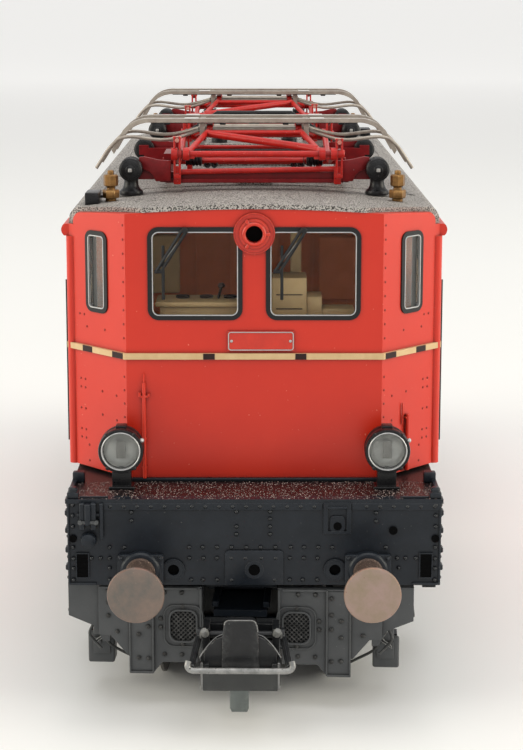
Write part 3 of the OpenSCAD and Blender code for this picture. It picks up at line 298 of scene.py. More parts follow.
# Share of the colour from inside the walls, where the body is lined in another colour
def line_inside(material, lining):
    tree = material.node_tree
    shader = tree.nodes["Principled BSDF"]
    place = add(tree, "ShaderNodeSeparateXYZ", {0: place_in_mm(tree)})
    x, y = (maths(tree, "ABSOLUTE", place.outputs[i]) for i in (0, 1))
    skin = 0.5
    run = math.hypot(half_w - corner_x, cab_y - side_y)
    nx, ny = (cab_y - side_y) / run, (half_w - corner_x) / run
    slant = maths(tree, "ADD", maths(tree, "MULTIPLY", x, nx), maths(tree, "MULTIPLY", y, ny))
    inside = maths(tree, "LESS_THAN", x, half_w - skin)
    inside = maths(tree, "MULTIPLY", inside, maths(tree, "LESS_THAN", y, cab_y - skin))
    inside = maths(tree, "MULTIPLY", inside,
                   maths(tree, "LESS_THAN", slant, half_w * nx + side_y * ny - skin))
    inside = maths(tree, "MULTIPLY", inside, maths(tree, "LESS_THAN", place.outputs[2], eaves_z + 0.8))
    colour = shader.inputs["Base Color"].links[0].from_socket
    link(tree, blend(tree, inside, colour, lining), shader.inputs["Base Color"])
    coat = shader.inputs["Coat Weight"]
    link(tree, maths(tree, "MULTIPLY", maths(tree, "SUBTRACT", 1.0, inside), coat.default_value), coat)


# Panes standing at an angle mirror more of the room, so their index is higher
def make_glass(name, tint, rough=0.02, end_index=1.17, side_index=1.55):
    material = bpy.data.materials.new(name)
    material.use_nodes = True
    tree = material.node_tree
    shader = tree.nodes["Principled BSDF"]
    smears = spread(tree, noise(tree, place_in_mm(tree), 0.7, 4.0, 0.7), 0.45, 0.8, rough, rough + 0.08)
    link(tree, smears, shader.inputs["Roughness"])
    colour = blend(tree, spread(tree, noise(tree, place_in_mm(tree), 1.3, 3.0), 0.4, 0.8), tint,
                   tuple(c * 0.92 for c in tint))
    link(tree, colour, shader.inputs["Base Color"])
    shader.inputs["Transmission Weight"].default_value = 1.0
    place = add(tree, "ShaderNodeSeparateXYZ", {0: place_in_mm(tree)}).outputs
    outer = maths(tree, "GREATER_THAN", maths(tree, "ABSOLUTE", place[0]), corner_x + 0.5)
    link(tree, spread(tree, outer, 0.0, 1.0, end_index, side_index), shader.inputs["IOR"])
    return material


# ------------------------------------------------------------ finishes
# Near-black for dirt and painted shade in the creases of dark finishes; each finish's crease colour below
# also paints shade there
BLACK_DIRT_AND_SHADE = (0.004, 0.004, 0.005)
red = make_finish(
    "vermilion lacquer", (0.64, 0.025, 0.006), (0.57, 0.017, 0.004), rough=0.4, coat=0.18, coat_rough=0.3,
    specular=0.38, bump=0.004, Patch_Size=7.0, Patch_Amount=0.5, Dirt_Colour=(0.1, 0.005, 0.003),
    Dirt_Amount=0.85, Crease=0.6, Edge_Colour=(0.75, 0.12, 0.06), Edge_Amount=0.5, Edge_Width=0.09,
    Speck_Colour=(0.75, 0.3, 0.2), Speck_Size=0.3, Speck_Amount=0.08, Grain_Size=0.25)
line_inside(red, (0.5, 0.33, 0.2))
# Painted shade: the rivet heads are a darker copy of the body's vermilion
rivet_red_painted_shade = make_finish(
    "vermilion rivets painted shade", (0.3, 0.018, 0.01), (0.2, 0.012, 0.008), rough=0.4, coat=0.1, specular=0.3,
    bump=0.003, Patch_Size=0.5, Dirt_Colour=(0.03, 0.003, 0.002), Dirt_Amount=0.95, Crease=0.25,
    Edge_Amount=0.0)
lamp_red = make_finish(
    "vermilion lamp ring", (0.64, 0.025, 0.006), (0.5, 0.017, 0.005), rough=0.34, coat=0.3, specular=0.4,
    bump=0.004, Patch_Size=1.2, Patch_Amount=0.6, Dirt_Colour=(0.09, 0.005, 0.003), Dirt_Amount=0.95,
    Crease=0.3, Edge_Colour=(0.8, 0.16, 0.09), Edge_Amount=0.7, Edge_Width=0.07)
roof_grey = make_finish(
    "gritty roof grey", (0.52, 0.485, 0.455), (0.36, 0.335, 0.31), rough=0.6, bump=0.05, specular=0.4,
    Patch_Size=8.0, Patch_Amount=0.55, Dirt_Colour=(0.07, 0.06, 0.055), Dirt_Amount=0.6, Crease=0.8,
    Edge_Colour=(0.55, 0.53, 0.5), Edge_Amount=0.6, Edge_Width=0.12, Speck_Colour=(0.05, 0.045, 0.042),
    Speck_Size=0.12, Speck_Amount=1.0, Roughness_Change=0.3, Grain_Size=0.13)
frame_black = make_finish(
    "frame black", (0.0075, 0.0105, 0.0155), (0.014, 0.0185, 0.026), rough=0.34, specular=0.28, bump=0.006,
    Patch_Size=2.2, Patch_Amount=0.8, Dirt_Colour=BLACK_DIRT_AND_SHADE, Dirt_Amount=0.8, Crease=0.3,
    Edge_Colour=(0.06, 0.065, 0.075), Edge_Amount=0.6, Speck_Colour=(0.1, 0.1, 0.1), Speck_Size=0.15,
    Speck_Amount=0.12, Roughness_Change=0.25, Grain_Size=0.12)
deck_black = make_finish(
    "gritty deck", (0.006, 0.0045, 0.005), (0.02, 0.0055, 0.0055), rough=0.4, coat=0.1, coat_rough=0.16,
    specular=0.3, bump=0.05, Patch_Size=1.3, Patch_Amount=0.7, Dirt_Amount=0.5, Dirt_Colour=BLACK_DIRT_AND_SHADE,
    Speck_Colour=(0.45, 0.3, 0.27), Speck_Size=0.09, Speck_Amount=0.07, Edge_Amount=0.3,
    Edge_Colour=(0.08, 0.08, 0.08), Roughness_Change=0.4, Grain_Size=0.14)
guard_grey = make_finish(
    "guard grey", (0.064, 0.068, 0.072), (0.09, 0.094, 0.098), rough=0.48, specular=0.35, bump=0.006,
    Patch_Size=3.0, Patch_Amount=0.7, Dirt_Colour=(0.01, 0.01, 0.01), Dirt_Amount=0.85, Crease=0.35,
    Edge_Colour=(0.16, 0.16, 0.15), Edge_Amount=0.5, Speck_Colour=(0.2, 0.2, 0.19), Speck_Size=0.18,
    Speck_Amount=0.08, Roughness_Change=0.2, Grain_Size=0.14)
block_metal = make_finish(
    "cast block", (0.03, 0.03, 0.031), (0.018, 0.018, 0.019), rough=0.55, metal=0.3, specular=0.3,
    bump=0.02, Patch_Size=1.8, Patch_Amount=0.7, Dirt_Amount=0.7, Crease=0.8, Edge_Amount=0.4,
    Edge_Colour=(0.12, 0.12, 0.12), Grain_Size=0.25, Roughness_Change=0.3)
seal_black = make_finish(
    "window rubber", (0.006, 0.006, 0.007), (0.012, 0.012, 0.013), rough=0.42, specular=0.3, bump=0.003,
    Patch_Size=0.8, Dirt_Amount=0.2, Dirt_Colour=BLACK_DIRT_AND_SHADE, Edge_Amount=0.3,
    Edge_Colour=(0.04, 0.04, 0.04))
# Painted shade: near-black discs and sheets put in holes, vents and lamp openings where only shade would be
painted_hole_shade = make_finish(
    "painted hole shade", (0.002, 0.002, 0.0022), (0.0035, 0.0035, 0.004), rough=0.8, specular=0.05, bump=0.003,
    Patch_Size=0.5, Dirt_Amount=0.2, Dirt_Colour=(0.001, 0.001, 0.001), Edge_Amount=0.0)
cab_brown = make_finish(
    "cab brown", (0.78, 0.215, 0.08), (0.6, 0.15, 0.05), rough=0.55, specular=0.3, bump=0.006,
    Patch_Size=3.5, Patch_Amount=0.7, Dirt_Amount=0.4, Dirt_Colour=(0.06, 0.022, 0.01),
    Edge_Colour=(0.6, 0.34, 0.18), Edge_Amount=0.4, Edge_Width=0.08)
desk_tan = make_finish(
    "desk tan", (0.62, 0.44, 0.23), (0.52, 0.35, 0.17), specular=0.3, bump=0.004, Patch_Size=2.0,
    Patch_Amount=0.6, Dirt_Amount=0.5, Dirt_Colour=(0.1, 0.05, 0.02), Edge_Amount=0.3,
    Edge_Colour=(0.7, 0.55, 0.36))
cream = make_finish(
    "cream line", (0.7, 0.5, 0.27), (0.58, 0.38, 0.19), rough=0.45, specular=0.3, bump=0.004,
    Patch_Size=1.2, Patch_Amount=0.7, Dirt_Colour=(0.26, 0.04, 0.015), Dirt_Amount=0.6, Crease=0.15,
    Edge_Amount=0.3, Edge_Colour=(0.8, 0.66, 0.46))
dark_brown = make_finish(
    "dark brown marks", (0.022, 0.008, 0.007), (0.014, 0.005, 0.005), specular=0.25, bump=0.003,
    Patch_Size=0.6)
plate_metal = make_finish(
    "bare plate", (0.36, 0.35, 0.34), (0.28, 0.27, 0.26), rough=0.42, metal=0.6, bump=0.004, Patch_Size=0.8,
    Dirt_Amount=0.6, Crease=0.25, Edge_Amount=0.6, Edge_Colour=(0.7, 0.7, 0.68))
fitting_black = make_finish(
    "fitting black", (0.0055, 0.0055, 0.0065), (0.011, 0.011, 0.0125), rough=0.3, specular=0.26, bump=0.008,
    Patch_Size=1.2, Patch_Amount=0.8, Dirt_Amount=0.4, Dirt_Colour=BLACK_DIRT_AND_SHADE, Crease=0.3,
    Edge_Colour=(0.07, 0.07, 0.075), Edge_Amount=0.6, Speck_Colour=(0.12, 0.12, 0.12), Speck_Size=0.14,
    Speck_Amount=0.12, Roughness_Change=0.25)
buffer_steel = make_finish(
    "worn buffer steel", (0.2, 0.15, 0.125), (0.12, 0.115, 0.105), rough=0.42, metal=0.5, Patch_Size=1.6,
    Patch_Amount=1.0, Dirt_Colour=(0.035, 0.022, 0.016), Dirt_Amount=0.7, Edge_Colour=(0.3, 0.11, 0.06),
    Edge_Amount=1.0, Edge_Width=0.14, Speck_Colour=(0.36, 0.27, 0.2), Speck_Size=0.22, Speck_Amount=0.18,
    Roughness_Change=0.35, Grain_Size=0.35)
barrel_steel = make_finish(
    "speckled buffer barrel", (0.085, 0.055, 0.042), (0.05, 0.034, 0.028), metal=0.2, bump=0.012,
    Patch_Size=0.7, Patch_Amount=0.9, Dirt_Colour=(0.012, 0.009, 0.008), Dirt_Amount=0.8, Crease=0.5,
    Edge_Colour=(0.26, 0.14, 0.1), Edge_Amount=0.8, Edge_Width=0.08, Speck_Colour=(0.35, 0.24, 0.18),
    Speck_Size=0.13, Speck_Amount=0.5, Roughness_Change=0.35, Grain_Size=0.16)
brass = make_finish(
    "turned brass", (0.27, 0.14, 0.045), (0.14, 0.07, 0.026), rough=0.34, metal=0.85, bump=0.006,
    Patch_Size=0.5, Patch_Amount=0.9, Dirt_Colour=(0.03, 0.015, 0.007), Dirt_Amount=0.9, Crease=0.3,
    Edge_Colour=(0.7, 0.46, 0.2), Edge_Amount=0.7, Edge_Width=0.05)
panto_red = make_finish(
    "pantograph red", (0.56, 0.013, 0.008), (0.38, 0.008, 0.006), rough=0.34, coat=0.12, specular=0.28,
    bump=0.006, Patch_Size=0.8, Patch_Amount=0.8, Dirt_Colour=(0.035, 0.003, 0.004), Dirt_Amount=0.9,
    Crease=0.45, Edge_Colour=(0.75, 0.17, 0.13), Edge_Amount=0.6, Speck_Colour=(0.75, 0.4, 0.32),
    Speck_Size=0.12, Speck_Amount=0.2, Roughness_Change=0.25, Grain_Size=0.1)
base_red = make_finish(
    "pantograph base red", (0.25, 0.006, 0.009), (0.15, 0.004, 0.006), rough=0.36, coat=0.06, specular=0.22,
    bump=0.006, Patch_Size=1.0, Patch_Amount=0.8, Dirt_Colour=(0.014, 0.003, 0.004), Dirt_Amount=0.9,
    Crease=0.5, Edge_Colour=(0.42, 0.07, 0.06), Edge_Amount=0.6, Edge_Width=0.07, Roughness_Change=0.25)
bow_metal = make_finish(
    "bow strip metal", (0.42, 0.375, 0.32), (0.25, 0.2, 0.17), rough=0.34, metal=0.4, bump=0.006,
    Patch_Size=1.2, Patch_Amount=0.8, Dirt_Amount=0.5, Crease=0.3, Edge_Colour=(0.72, 0.7, 0.64),
    Edge_Amount=0.9, Edge_Width=0.07, Roughness_Change=0.25)
link_metal = make_finish(
    "bright link metal", (0.6, 0.59, 0.56), (0.42, 0.41, 0.38), rough=0.38, metal=0.6, bump=0.003,
    Patch_Size=0.8, Edge_Amount=0.4, Edge_Colour=(0.9, 0.9, 0.88))
knob_grey = make_finish(
    "matt knob grey", (0.27, 0.27, 0.26), (0.15, 0.15, 0.145), rough=0.55, metal=0.2, specular=0.3,
    bump=0.004, Patch_Size=0.5, Patch_Amount=0.8, Dirt_Colour=(0.02, 0.02, 0.02), Dirt_Amount=0.9,
    Crease=0.3, Edge_Amount=0.3, Edge_Colour=(0.7, 0.7, 0.68))
coupler_black = make_finish(
    "coupler black", (0.008, 0.0085, 0.01), (0.016, 0.017, 0.019), rough=0.34, specular=0.35, bump=0.006,
    bare_edges=True, Patch_Size=1.5, Patch_Amount=0.8, Dirt_Amount=0.5, Dirt_Colour=BLACK_DIRT_AND_SHADE,
    Edge_Colour=(0.4, 0.4, 0.39), Edge_Amount=0.5, Edge_Width=0.08, Speck_Colour=(0.15, 0.15, 0.15),
    Speck_Size=0.16, Speck_Amount=0.1, Roughness_Change=0.25)
loop_metal = make_finish(
    "worn loop metal", (0.11, 0.113, 0.113), (0.06, 0.063, 0.065), rough=0.38, metal=0.5, bump=0.008,
    Patch_Size=1.0, Patch_Amount=0.8, Dirt_Amount=0.6, Dirt_Colour=BLACK_DIRT_AND_SHADE, Crease=0.3,
    Edge_Colour=(0.6, 0.6, 0.58), Edge_Amount=1.0, Edge_Width=0.1, Speck_Colour=(0.5, 0.5, 0.48),
    Speck_Amount=0.2, Roughness_Change=0.3)
# Painted shade: the apron's rivet heads are darker than the black round them
apron_rivet_painted_shade = make_finish(
    "apron rivets", (0.004, 0.0055, 0.008), (0.009, 0.012, 0.017), rough=0.2, specular=0.45, bump=0.002,
    Patch_Size=0.6, Dirt_Colour=(0.002, 0.002, 0.003), Dirt_Amount=1.0, Crease=0.22, Edge_Amount=0.0)
coupler_grey = make_finish(
    "coupler front grey", (0.035, 0.037, 0.037), (0.052, 0.054, 0.053), rough=0.42, specular=0.3,
    bump=0.006, Patch_Size=2.5, Patch_Amount=0.6, Dirt_Colour=BLACK_DIRT_AND_SHADE, Dirt_Amount=0.6, Edge_Amount=0.5,
    Edge_Colour=(0.2, 0.2, 0.2), Edge_Width=0.08)
wire_grey = make_finish(
    "worn wire", (0.24, 0.24, 0.235), (0.12, 0.12, 0.12), rough=0.4, metal=0.4, bump=0.002, Patch_Size=0.8,
    Patch_Amount=0.9, Dirt_Colour=BLACK_DIRT_AND_SHADE, Dirt_Amount=0.6, Crease=0.2)
pale_steel = make_finish(
    "polished buffer face", (0.34, 0.24, 0.21), (0.25, 0.2, 0.13), rough=0.38, metal=0.5, bump=0.008,
    Patch_Size=1.9, Patch_Amount=0.9, Dirt_Colour=(0.06, 0.035, 0.02), Dirt_Amount=0.7,
    Edge_Colour=(0.36, 0.14, 0.06), Edge_Amount=1.0, Edge_Width=0.14, Speck_Colour=(0.2, 0.11, 0.07),
    Speck_Amount=0.12, Roughness_Change=0.3, Grain_Size=0.35)
wheel_steel = make_finish(
    "turned wheel steel", (0.16, 0.15, 0.14), (0.09, 0.085, 0.08), rough=0.36, metal=0.85, bump=0.005,
    Patch_Size=1.4, Patch_Amount=0.6, Dirt_Colour=(0.015, 0.013, 0.012), Dirt_Amount=0.8, Crease=0.6,
    Edge_Colour=(0.6, 0.59, 0.57), Edge_Amount=0.8, Edge_Width=0.08, Roughness_Change=0.2)
deck_grit = make_finish(
    "deck grit", (0.012, 0.008, 0.009), (0.6, 0.46, 0.42), rough=0.25, metal=0.2, bump=0.002,
    Patch_Size=0.22, Patch_Amount=1.0, Dirt_Amount=0.2, Edge_Amount=0.0)
guard_bolt = make_finish(
    "guard bolts", (0.012, 0.012, 0.012), (0.05, 0.05, 0.048), rough=0.4, specular=0.35, bump=0.002,
    Patch_Size=1.2, Patch_Amount=0.9, Dirt_Colour=BLACK_DIRT_AND_SHADE, Dirt_Amount=0.9, Crease=0.25)
worn_bar = make_finish(
    "worn bar metal", (0.33, 0.33, 0.32), (0.09, 0.092, 0.095), rough=0.4, metal=0.5, Patch_Size=1.2,
    Patch_Amount=0.85, Dirt_Amount=0.4, Dirt_Colour=BLACK_DIRT_AND_SHADE, Edge_Amount=0.3,
    Edge_Colour=(0.7, 0.7, 0.68), Speck_Colour=(0.06, 0.06, 0.06), Speck_Size=0.25, Speck_Amount=0.4,
    Roughness_Change=0.3)
tongue_metal = make_finish(
    "release tongue metal", (0.15, 0.17, 0.165), (0.1, 0.115, 0.11), rough=0.42, metal=0.3, bump=0.005,
    Patch_Size=1.5, Patch_Amount=0.7, Dirt_Amount=0.4, Edge_Amount=0.7, Edge_Colour=(0.4, 0.41, 0.4),
    Edge_Width=0.08, Roughness_Change=0.2)
# Painted highlight: pale pink bolts and pins stand for the highlights on the red knee forks
painted_highlight_red = make_finish(
    "pantograph bolts painted highlight", (0.55, 0.13, 0.1), (0.66, 0.4, 0.32), rough=0.36, coat=0.2, bump=0.003,
    Patch_Size=0.5, Patch_Amount=0.9, Dirt_Amount=0.8, Crease=0.25, Dirt_Colour=(0.05, 0.006, 0.006),
    Edge_Amount=0.4, Edge_Colour=(0.85, 0.6, 0.5))
silver = make_finish(
    "thin silver line", (0.5, 0.5, 0.5), (0.36, 0.36, 0.36), rough=0.36, metal=0.6, bump=0.002,
    Patch_Size=0.7, Patch_Amount=0.7)
dish_grey = make_finish(
    "lamp dish", (0.52, 0.52, 0.5), (0.4, 0.4, 0.385), rough=0.4, metal=0.4, bump=0.003, Patch_Size=0.6,
    Patch_Amount=0.7, Dirt_Amount=0.6, Edge_Amount=0.4, Edge_Colour=(0.6, 0.6, 0.58))
pane = make_glass("clear pane", (0.93, 0.93, 0.9))
lens_glass = make_glass("lamp glass", (0.93, 0.94, 0.93), 0.1, 1.4, 1.4)

CAD_FINISH = {
    "body_shell": red, "roof": roof_grey, "roof_box": roof_grey, "main_frame": deck_black,
    "drive_block": block_metal, "end_glass": pane, "side_glass": pane, "lamp_lenses": lens_glass,
    "window_frames": seal_black, "wipers": seal_black, "cab_interiors": cab_brown, "waist_rail": cream,
    "number_plates": lamp_red, "handrails": fitting_black, "door_steps": fitting_black,
    "platform_lamps": fitting_black, "top_lamps": lamp_red, "buffers": buffer_steel, "whistles": brass,
    "roof_busbar": fitting_black, "pantograph_insulators": fitting_black}
for end_name, _ in ENDS:
    CAD_FINISH.update({
        "apron_" + end_name: frame_black, "bogie_frame_" + end_name: frame_black,
        "bogie_block_" + end_name: block_metal, "rail_guard_" + end_name: guard_grey,
        "coupler_head_" + end_name: coupler_black, "coupler_loop_" + end_name: loop_metal,
        "pan_head_" + end_name: bow_metal, "pantograph_base_" + end_name: base_red})
    for arm in ("lower_arm_a_", "lower_arm_b_", "upper_arm_a_", "upper_arm_b_"):
        CAD_FINISH[arm + end_name] = panto_red
for number in (1, 2, 3, 4):
    CAD_FINISH["wheelset_%d" % number] = wheel_steel
for node_name, material in CAD_FINISH.items():
    mesh = frame["nodes"][node_name].data
    mesh.materials.clear()
    mesh.materials.append(material)


# ------------------------------------------------------------ solids
# Collects solids of one finish that ride on one body; every size is in millimetres
class Piece:
    def __init__(self, name, body, slot, material, place=None):
        self.name, self.body, self.slot, self.material = name, body, slot, material
        self.place = place or Matrix()
        self.all = bmesh.new()

    def take(self, solid, bevel=0.0, steps=1, place=None):
        if bevel:
            sharp = [e for e in solid.edges if e.is_manifold and e.calc_face_angle(0) > 0.5]
            bmesh.ops.bevel(solid, geom=sharp, offset=bevel, segments=steps, affect="EDGES", profile=0.5,
                            clamp_overlap=True)
        full = self.place @ (place or Matrix())
        solid.transform(full)
        if full.determinant() < 0:
            bmesh.ops.reverse_faces(solid, faces=solid.faces)
        spare = bpy.data.meshes.new("spare")
        solid.to_mesh(spare)
        self.all.from_mesh(spare)
        bpy.data.meshes.remove(spare)
        solid.free()

    def box(self, start, end, bevel=0.05, steps=1, place=None):
        solid = bmesh.new()
        bmesh.ops.create_cube(solid, size=1)
        size = [abs(b - a) for a, b in zip(start, end)]
        middle = [(a + b) / 2 for a, b in zip(start, end)]
        bmesh.ops.scale(solid, vec=size, verts=solid.verts)
        bmesh.ops.translate(solid, vec=middle, verts=solid.verts)
        self.take(solid, min(bevel, min(size) * 0.35), steps, place)

    # Turned solid: outline is a list of (radius, distance along the axis); a ring's outline is a closed loop
    def turned(self, outline, start, axis, sides=32, place=None, ring=False):
        solid = bmesh.new()
        turn = Vector((0, 0, 1)).rotation_difference(Vector(axis)).to_matrix().to_4x4()
        rings = []
        for radius, along in outline:
            if radius < 1e-6:
                rings.append([solid.verts.new((0, 0, along))])
            else:
                rings.append([solid.verts.new((radius * math.cos(2 * math.pi * i / sides),
                                               radius * math.sin(2 * math.pi * i / sides), along))
                              for i in range(sides)])
        for a, b in zip(rings, rings[1:] + (rings[:1] if ring else [])):
            for i in range(sides):
                j = (i + 1) % sides
                quad = [a[i % len(a)], a[j % len(a)], b[j % len(b)], b[i % len(b)]]
                corners = list(dict.fromkeys(quad))
                if len(corners) > 2:
                    solid.faces.new(corners)
        for loop, back in ((rings[0], True), (rings[-1], False)):
            if len(loop) > 1 and not ring:
                solid.faces.new(loop[::-1] if back else loop)
        solid.transform(Matrix.Translation(Vector(start)) @ turn)
        bmesh.ops.recalc_face_normals(solid, faces=solid.faces)
        self.take(solid, place=place)

    def rod(self, start, end, radius, sides=16, soft=0.2, place=None):
        start, end = Vector(start), Vector(end)
        length = (end - start).length
        soft = min(soft * radius, length * 0.3)
        self.turned([(0, 0), (radius - soft, 0), (radius, soft), (radius, length - soft),
                     (radius - soft, length), (0, length)], start, end - start, sides, place)

    # Prism of an outline in X and Z between two distances along Y
    def plate(self, outline, near, far, bevel=0.04, steps=1, place=None):
        solid = bmesh.new()
        front = [solid.verts.new((x, near, z)) for x, z in outline]
        back = [solid.verts.new((x, far, z)) for x, z in outline]
        count = len(outline)
        solid.faces.new(front)
        solid.faces.new(back[::-1])
        for i in range(count):
            j = (i + 1) % count
            solid.faces.new((front[j], front[i], back[i], back[j]))
        bmesh.ops.recalc_face_normals(solid, faces=solid.faces)
        self.take(solid, bevel, steps, place)

    # Flat ring between two outlines with as many corners
    def frame(self, outer, inner, near, far, place=None):
        solid = bmesh.new()
        loops = [[solid.verts.new((x, y, z)) for x, z in outline]
                 for outline, y in ((outer, near), (outer, far), (inner, far), (inner, near))]
        count = len(outer)
        for a, b in zip(loops, loops[1:] + loops[:1]):
            for i in range(count):
                j = (i + 1) % count
                solid.faces.new((a[i], a[j], b[j], b[i]))
        bmesh.ops.recalc_face_normals(solid, faces=solid.faces)
        self.take(solid, place=place)

    def done(self, angle=35):
        mesh = bpy.data.meshes.new(self.name)
        bmesh.ops.scale(self.all, vec=(MM, MM, MM), verts=self.all.verts)
        self.all.to_mesh(mesh)
        self.all.free()
        return settle(self.name, mesh, self.body, self.material, angle)


def settle(name, mesh, body, material, angle=35):
    mesh.materials.clear()
    mesh.materials.append(material)
    for face in mesh.polygons:
        face.use_smooth = True
    mesh.set_sharp_from_angle(angle=math.radians(angle))
    thing = bpy.data.objects.new(name, mesh)
    bpy.context.scene.collection.objects.link(thing)
    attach(thing, body)
    return thing


def arc(cx, cz, radius, start, end, steps):
    return [(cx + radius * math.cos(math.radians(start + (end - start) * i / steps)),
             cz + radius * math.sin(math.radians(start + (end - start) * i / steps)))
            for i in range(steps + 1)]


def rounded(width, height, radius, steps=5, cx=0.0, cz=0.0):
    w, h = width / 2 - radius, height / 2 - radius
    return (arc(cx + w, cz + h, radius, 0, 90, steps) + arc(cx - w, cz + h, radius, 90, 180, steps)
            + arc(cx - w, cz - h, radius, 180, 270, steps) + arc(cx + w, cz - h, radius, 270, 360, steps))


def oblong(x0, z0, x1, z1):
    return [(x0, z0), (x1, z0), (x1, z1), (x0, z1)]


def circle(x, z, radius):
    return arc(x, z, radius, 0, 350, 35)


# ------------------------------------------------------------ geometry trees
def new_tree(name, sockets):
    tree = bpy.data.node_groups.new(name, "GeometryNodeTree")
    new_sockets(tree, [("Geometry", "NodeSocketGeometry", None)] + sockets
                + [("Material", "NodeSocketMaterial", None)], [("Geometry", "NodeSocketGeometry")])
    return tree, add(tree, "NodeGroupInput").outputs


def finish_tree(tree, sockets, geometry):
    solid = add(tree, "GeometryNodeRealizeInstances", {"Geometry": geometry}).outputs[0]
    smooth = add(tree, "GeometryNodeSetShadeSmooth", {"Geometry": solid}).outputs[0]
    finished = add(tree, "GeometryNodeSetMaterial", {"Geometry": smooth, "Material": sockets["Material"]})
    link(tree, finished.outputs[0], add(tree, "NodeGroupOutput").inputs[0])
    return tree


# Turns each instance's Z to the point's own "facing"
def facing_turn(tree):
    facing = add(tree, "GeometryNodeInputNamedAttribute", {"Name": "facing"}, data_type="FLOAT_VECTOR")
    return add(tree, "FunctionNodeAlignRotationToVector", {"Vector": facing.outputs[0]}, axis="Z").outputs[0]


def scaled_by(tree, geometry, x, z):
    size = add(tree, "ShaderNodeCombineXYZ", {"X": x, "Y": x, "Z": z}).outputs[0]
    return add(tree, "GeometryNodeTransform", {"Geometry": geometry, "Scale": size}).outputs[0]


def rivet_tree():
    tree, sockets = new_tree("rivet heads", [("Radius", FLOAT, 0.16), ("Height", FLOAT, 0.1),
                                             ("Sides", "NodeSocketInt", 10)])
    head = add(tree, "GeometryNodeMeshUVSphere", {"Segments": sockets["Sides"], "Rings": 6, "Radius": 1.0})
    head = scaled_by(tree, head.outputs[0], sockets["Radius"], sockets["Height"])
    heads = add(tree, "GeometryNodeInstanceOnPoints", {"Points": sockets["Geometry"], "Instance": head,
                                                       "Rotation": facing_turn(tree)})
    return finish_tree(tree, sockets, heads.outputs[0])


# Bolt: a hexagon on a round washer, with a small dome on top
def bolt_tree():
    tree, sockets = new_tree("hexagon bolts", [("Radius", FLOAT, 0.25), ("Height", FLOAT, 0.2)])
    washer = add(tree, "GeometryNodeMeshCylinder", {"Vertices": 16, "Radius": 1.25, "Depth": 0.5}).outputs[0]
    hexagon = add(tree, "GeometryNodeMeshCylinder", {"Vertices": 6, "Radius": 1.0, "Depth": 2.0}).outputs[0]
    top = add(tree, "GeometryNodeMeshUVSphere", {"Segments": 10, "Rings": 6, "Radius": 0.62}).outputs[0]
    top = add(tree, "GeometryNodeTransform", {"Geometry": top, "Translation": (0.0, 0.0, 0.95)}).outputs[0]
    joined = add(tree, "GeometryNodeJoinGeometry")
    for part in (washer, hexagon, top):
        link(tree, part, joined.inputs[0])
    bolt = scaled_by(tree, joined.outputs[0], sockets["Radius"], sockets["Height"])
    bolts = add(tree, "GeometryNodeInstanceOnPoints", {"Points": sockets["Geometry"], "Instance": bolt,
                                                       "Rotation": facing_turn(tree)})
    return finish_tree(tree, sockets, bolts.outputs[0])


# Round wire along the edges of the mesh it is given
def wire_tree():
    tree, sockets = new_tree("round wires", [("Radius", FLOAT, 0.1), ("Sides", "NodeSocketInt", 10)])
    path = add(tree, "GeometryNodeMeshToCurve", {"Mesh": sockets["Geometry"]}).outputs[0]
    ring = add(tree, "GeometryNodeCurvePrimitiveCircle", {"Resolution": sockets["Sides"],
                                                          "Radius": sockets["Radius"]}).outputs[0]
    wire = add(tree, "GeometryNodeCurveToMesh", {"Curve": path, "Profile Curve": ring, "Fill Caps": True})
    return finish_tree(tree, sockets, wire.outputs[0])


# Coil spring on each point, standing along its "facing"
def spring_tree():
    tree, sockets = new_tree("coil springs", [("Coil Radius", FLOAT, 0.6), ("Length", FLOAT, 2.0),
                                              ("Turns", FLOAT, 6.0), ("Wire Radius", FLOAT, 0.1)])
    coil = add(tree, "GeometryNodeCurveSpiral", {
        "Resolution": 14, "Rotations": sockets["Turns"], "Start Radius": sockets["Coil Radius"],
        "End Radius": sockets["Coil Radius"], "Height": sockets["Length"]}).outputs[0]
    ring = add(tree, "GeometryNodeCurvePrimitiveCircle", {"Resolution": 8, "Radius": sockets["Wire Radius"]})
    wire = add(tree, "GeometryNodeCurveToMesh", {"Curve": coil, "Profile Curve": ring.outputs[0],
                                                 "Fill Caps": True}).outputs[0]
    springs = add(tree, "GeometryNodeInstanceOnPoints", {"Points": sockets["Geometry"], "Instance": wire,
                                                         "Rotation": facing_turn(tree)})
    return finish_tree(tree, sockets, springs.outputs[0])


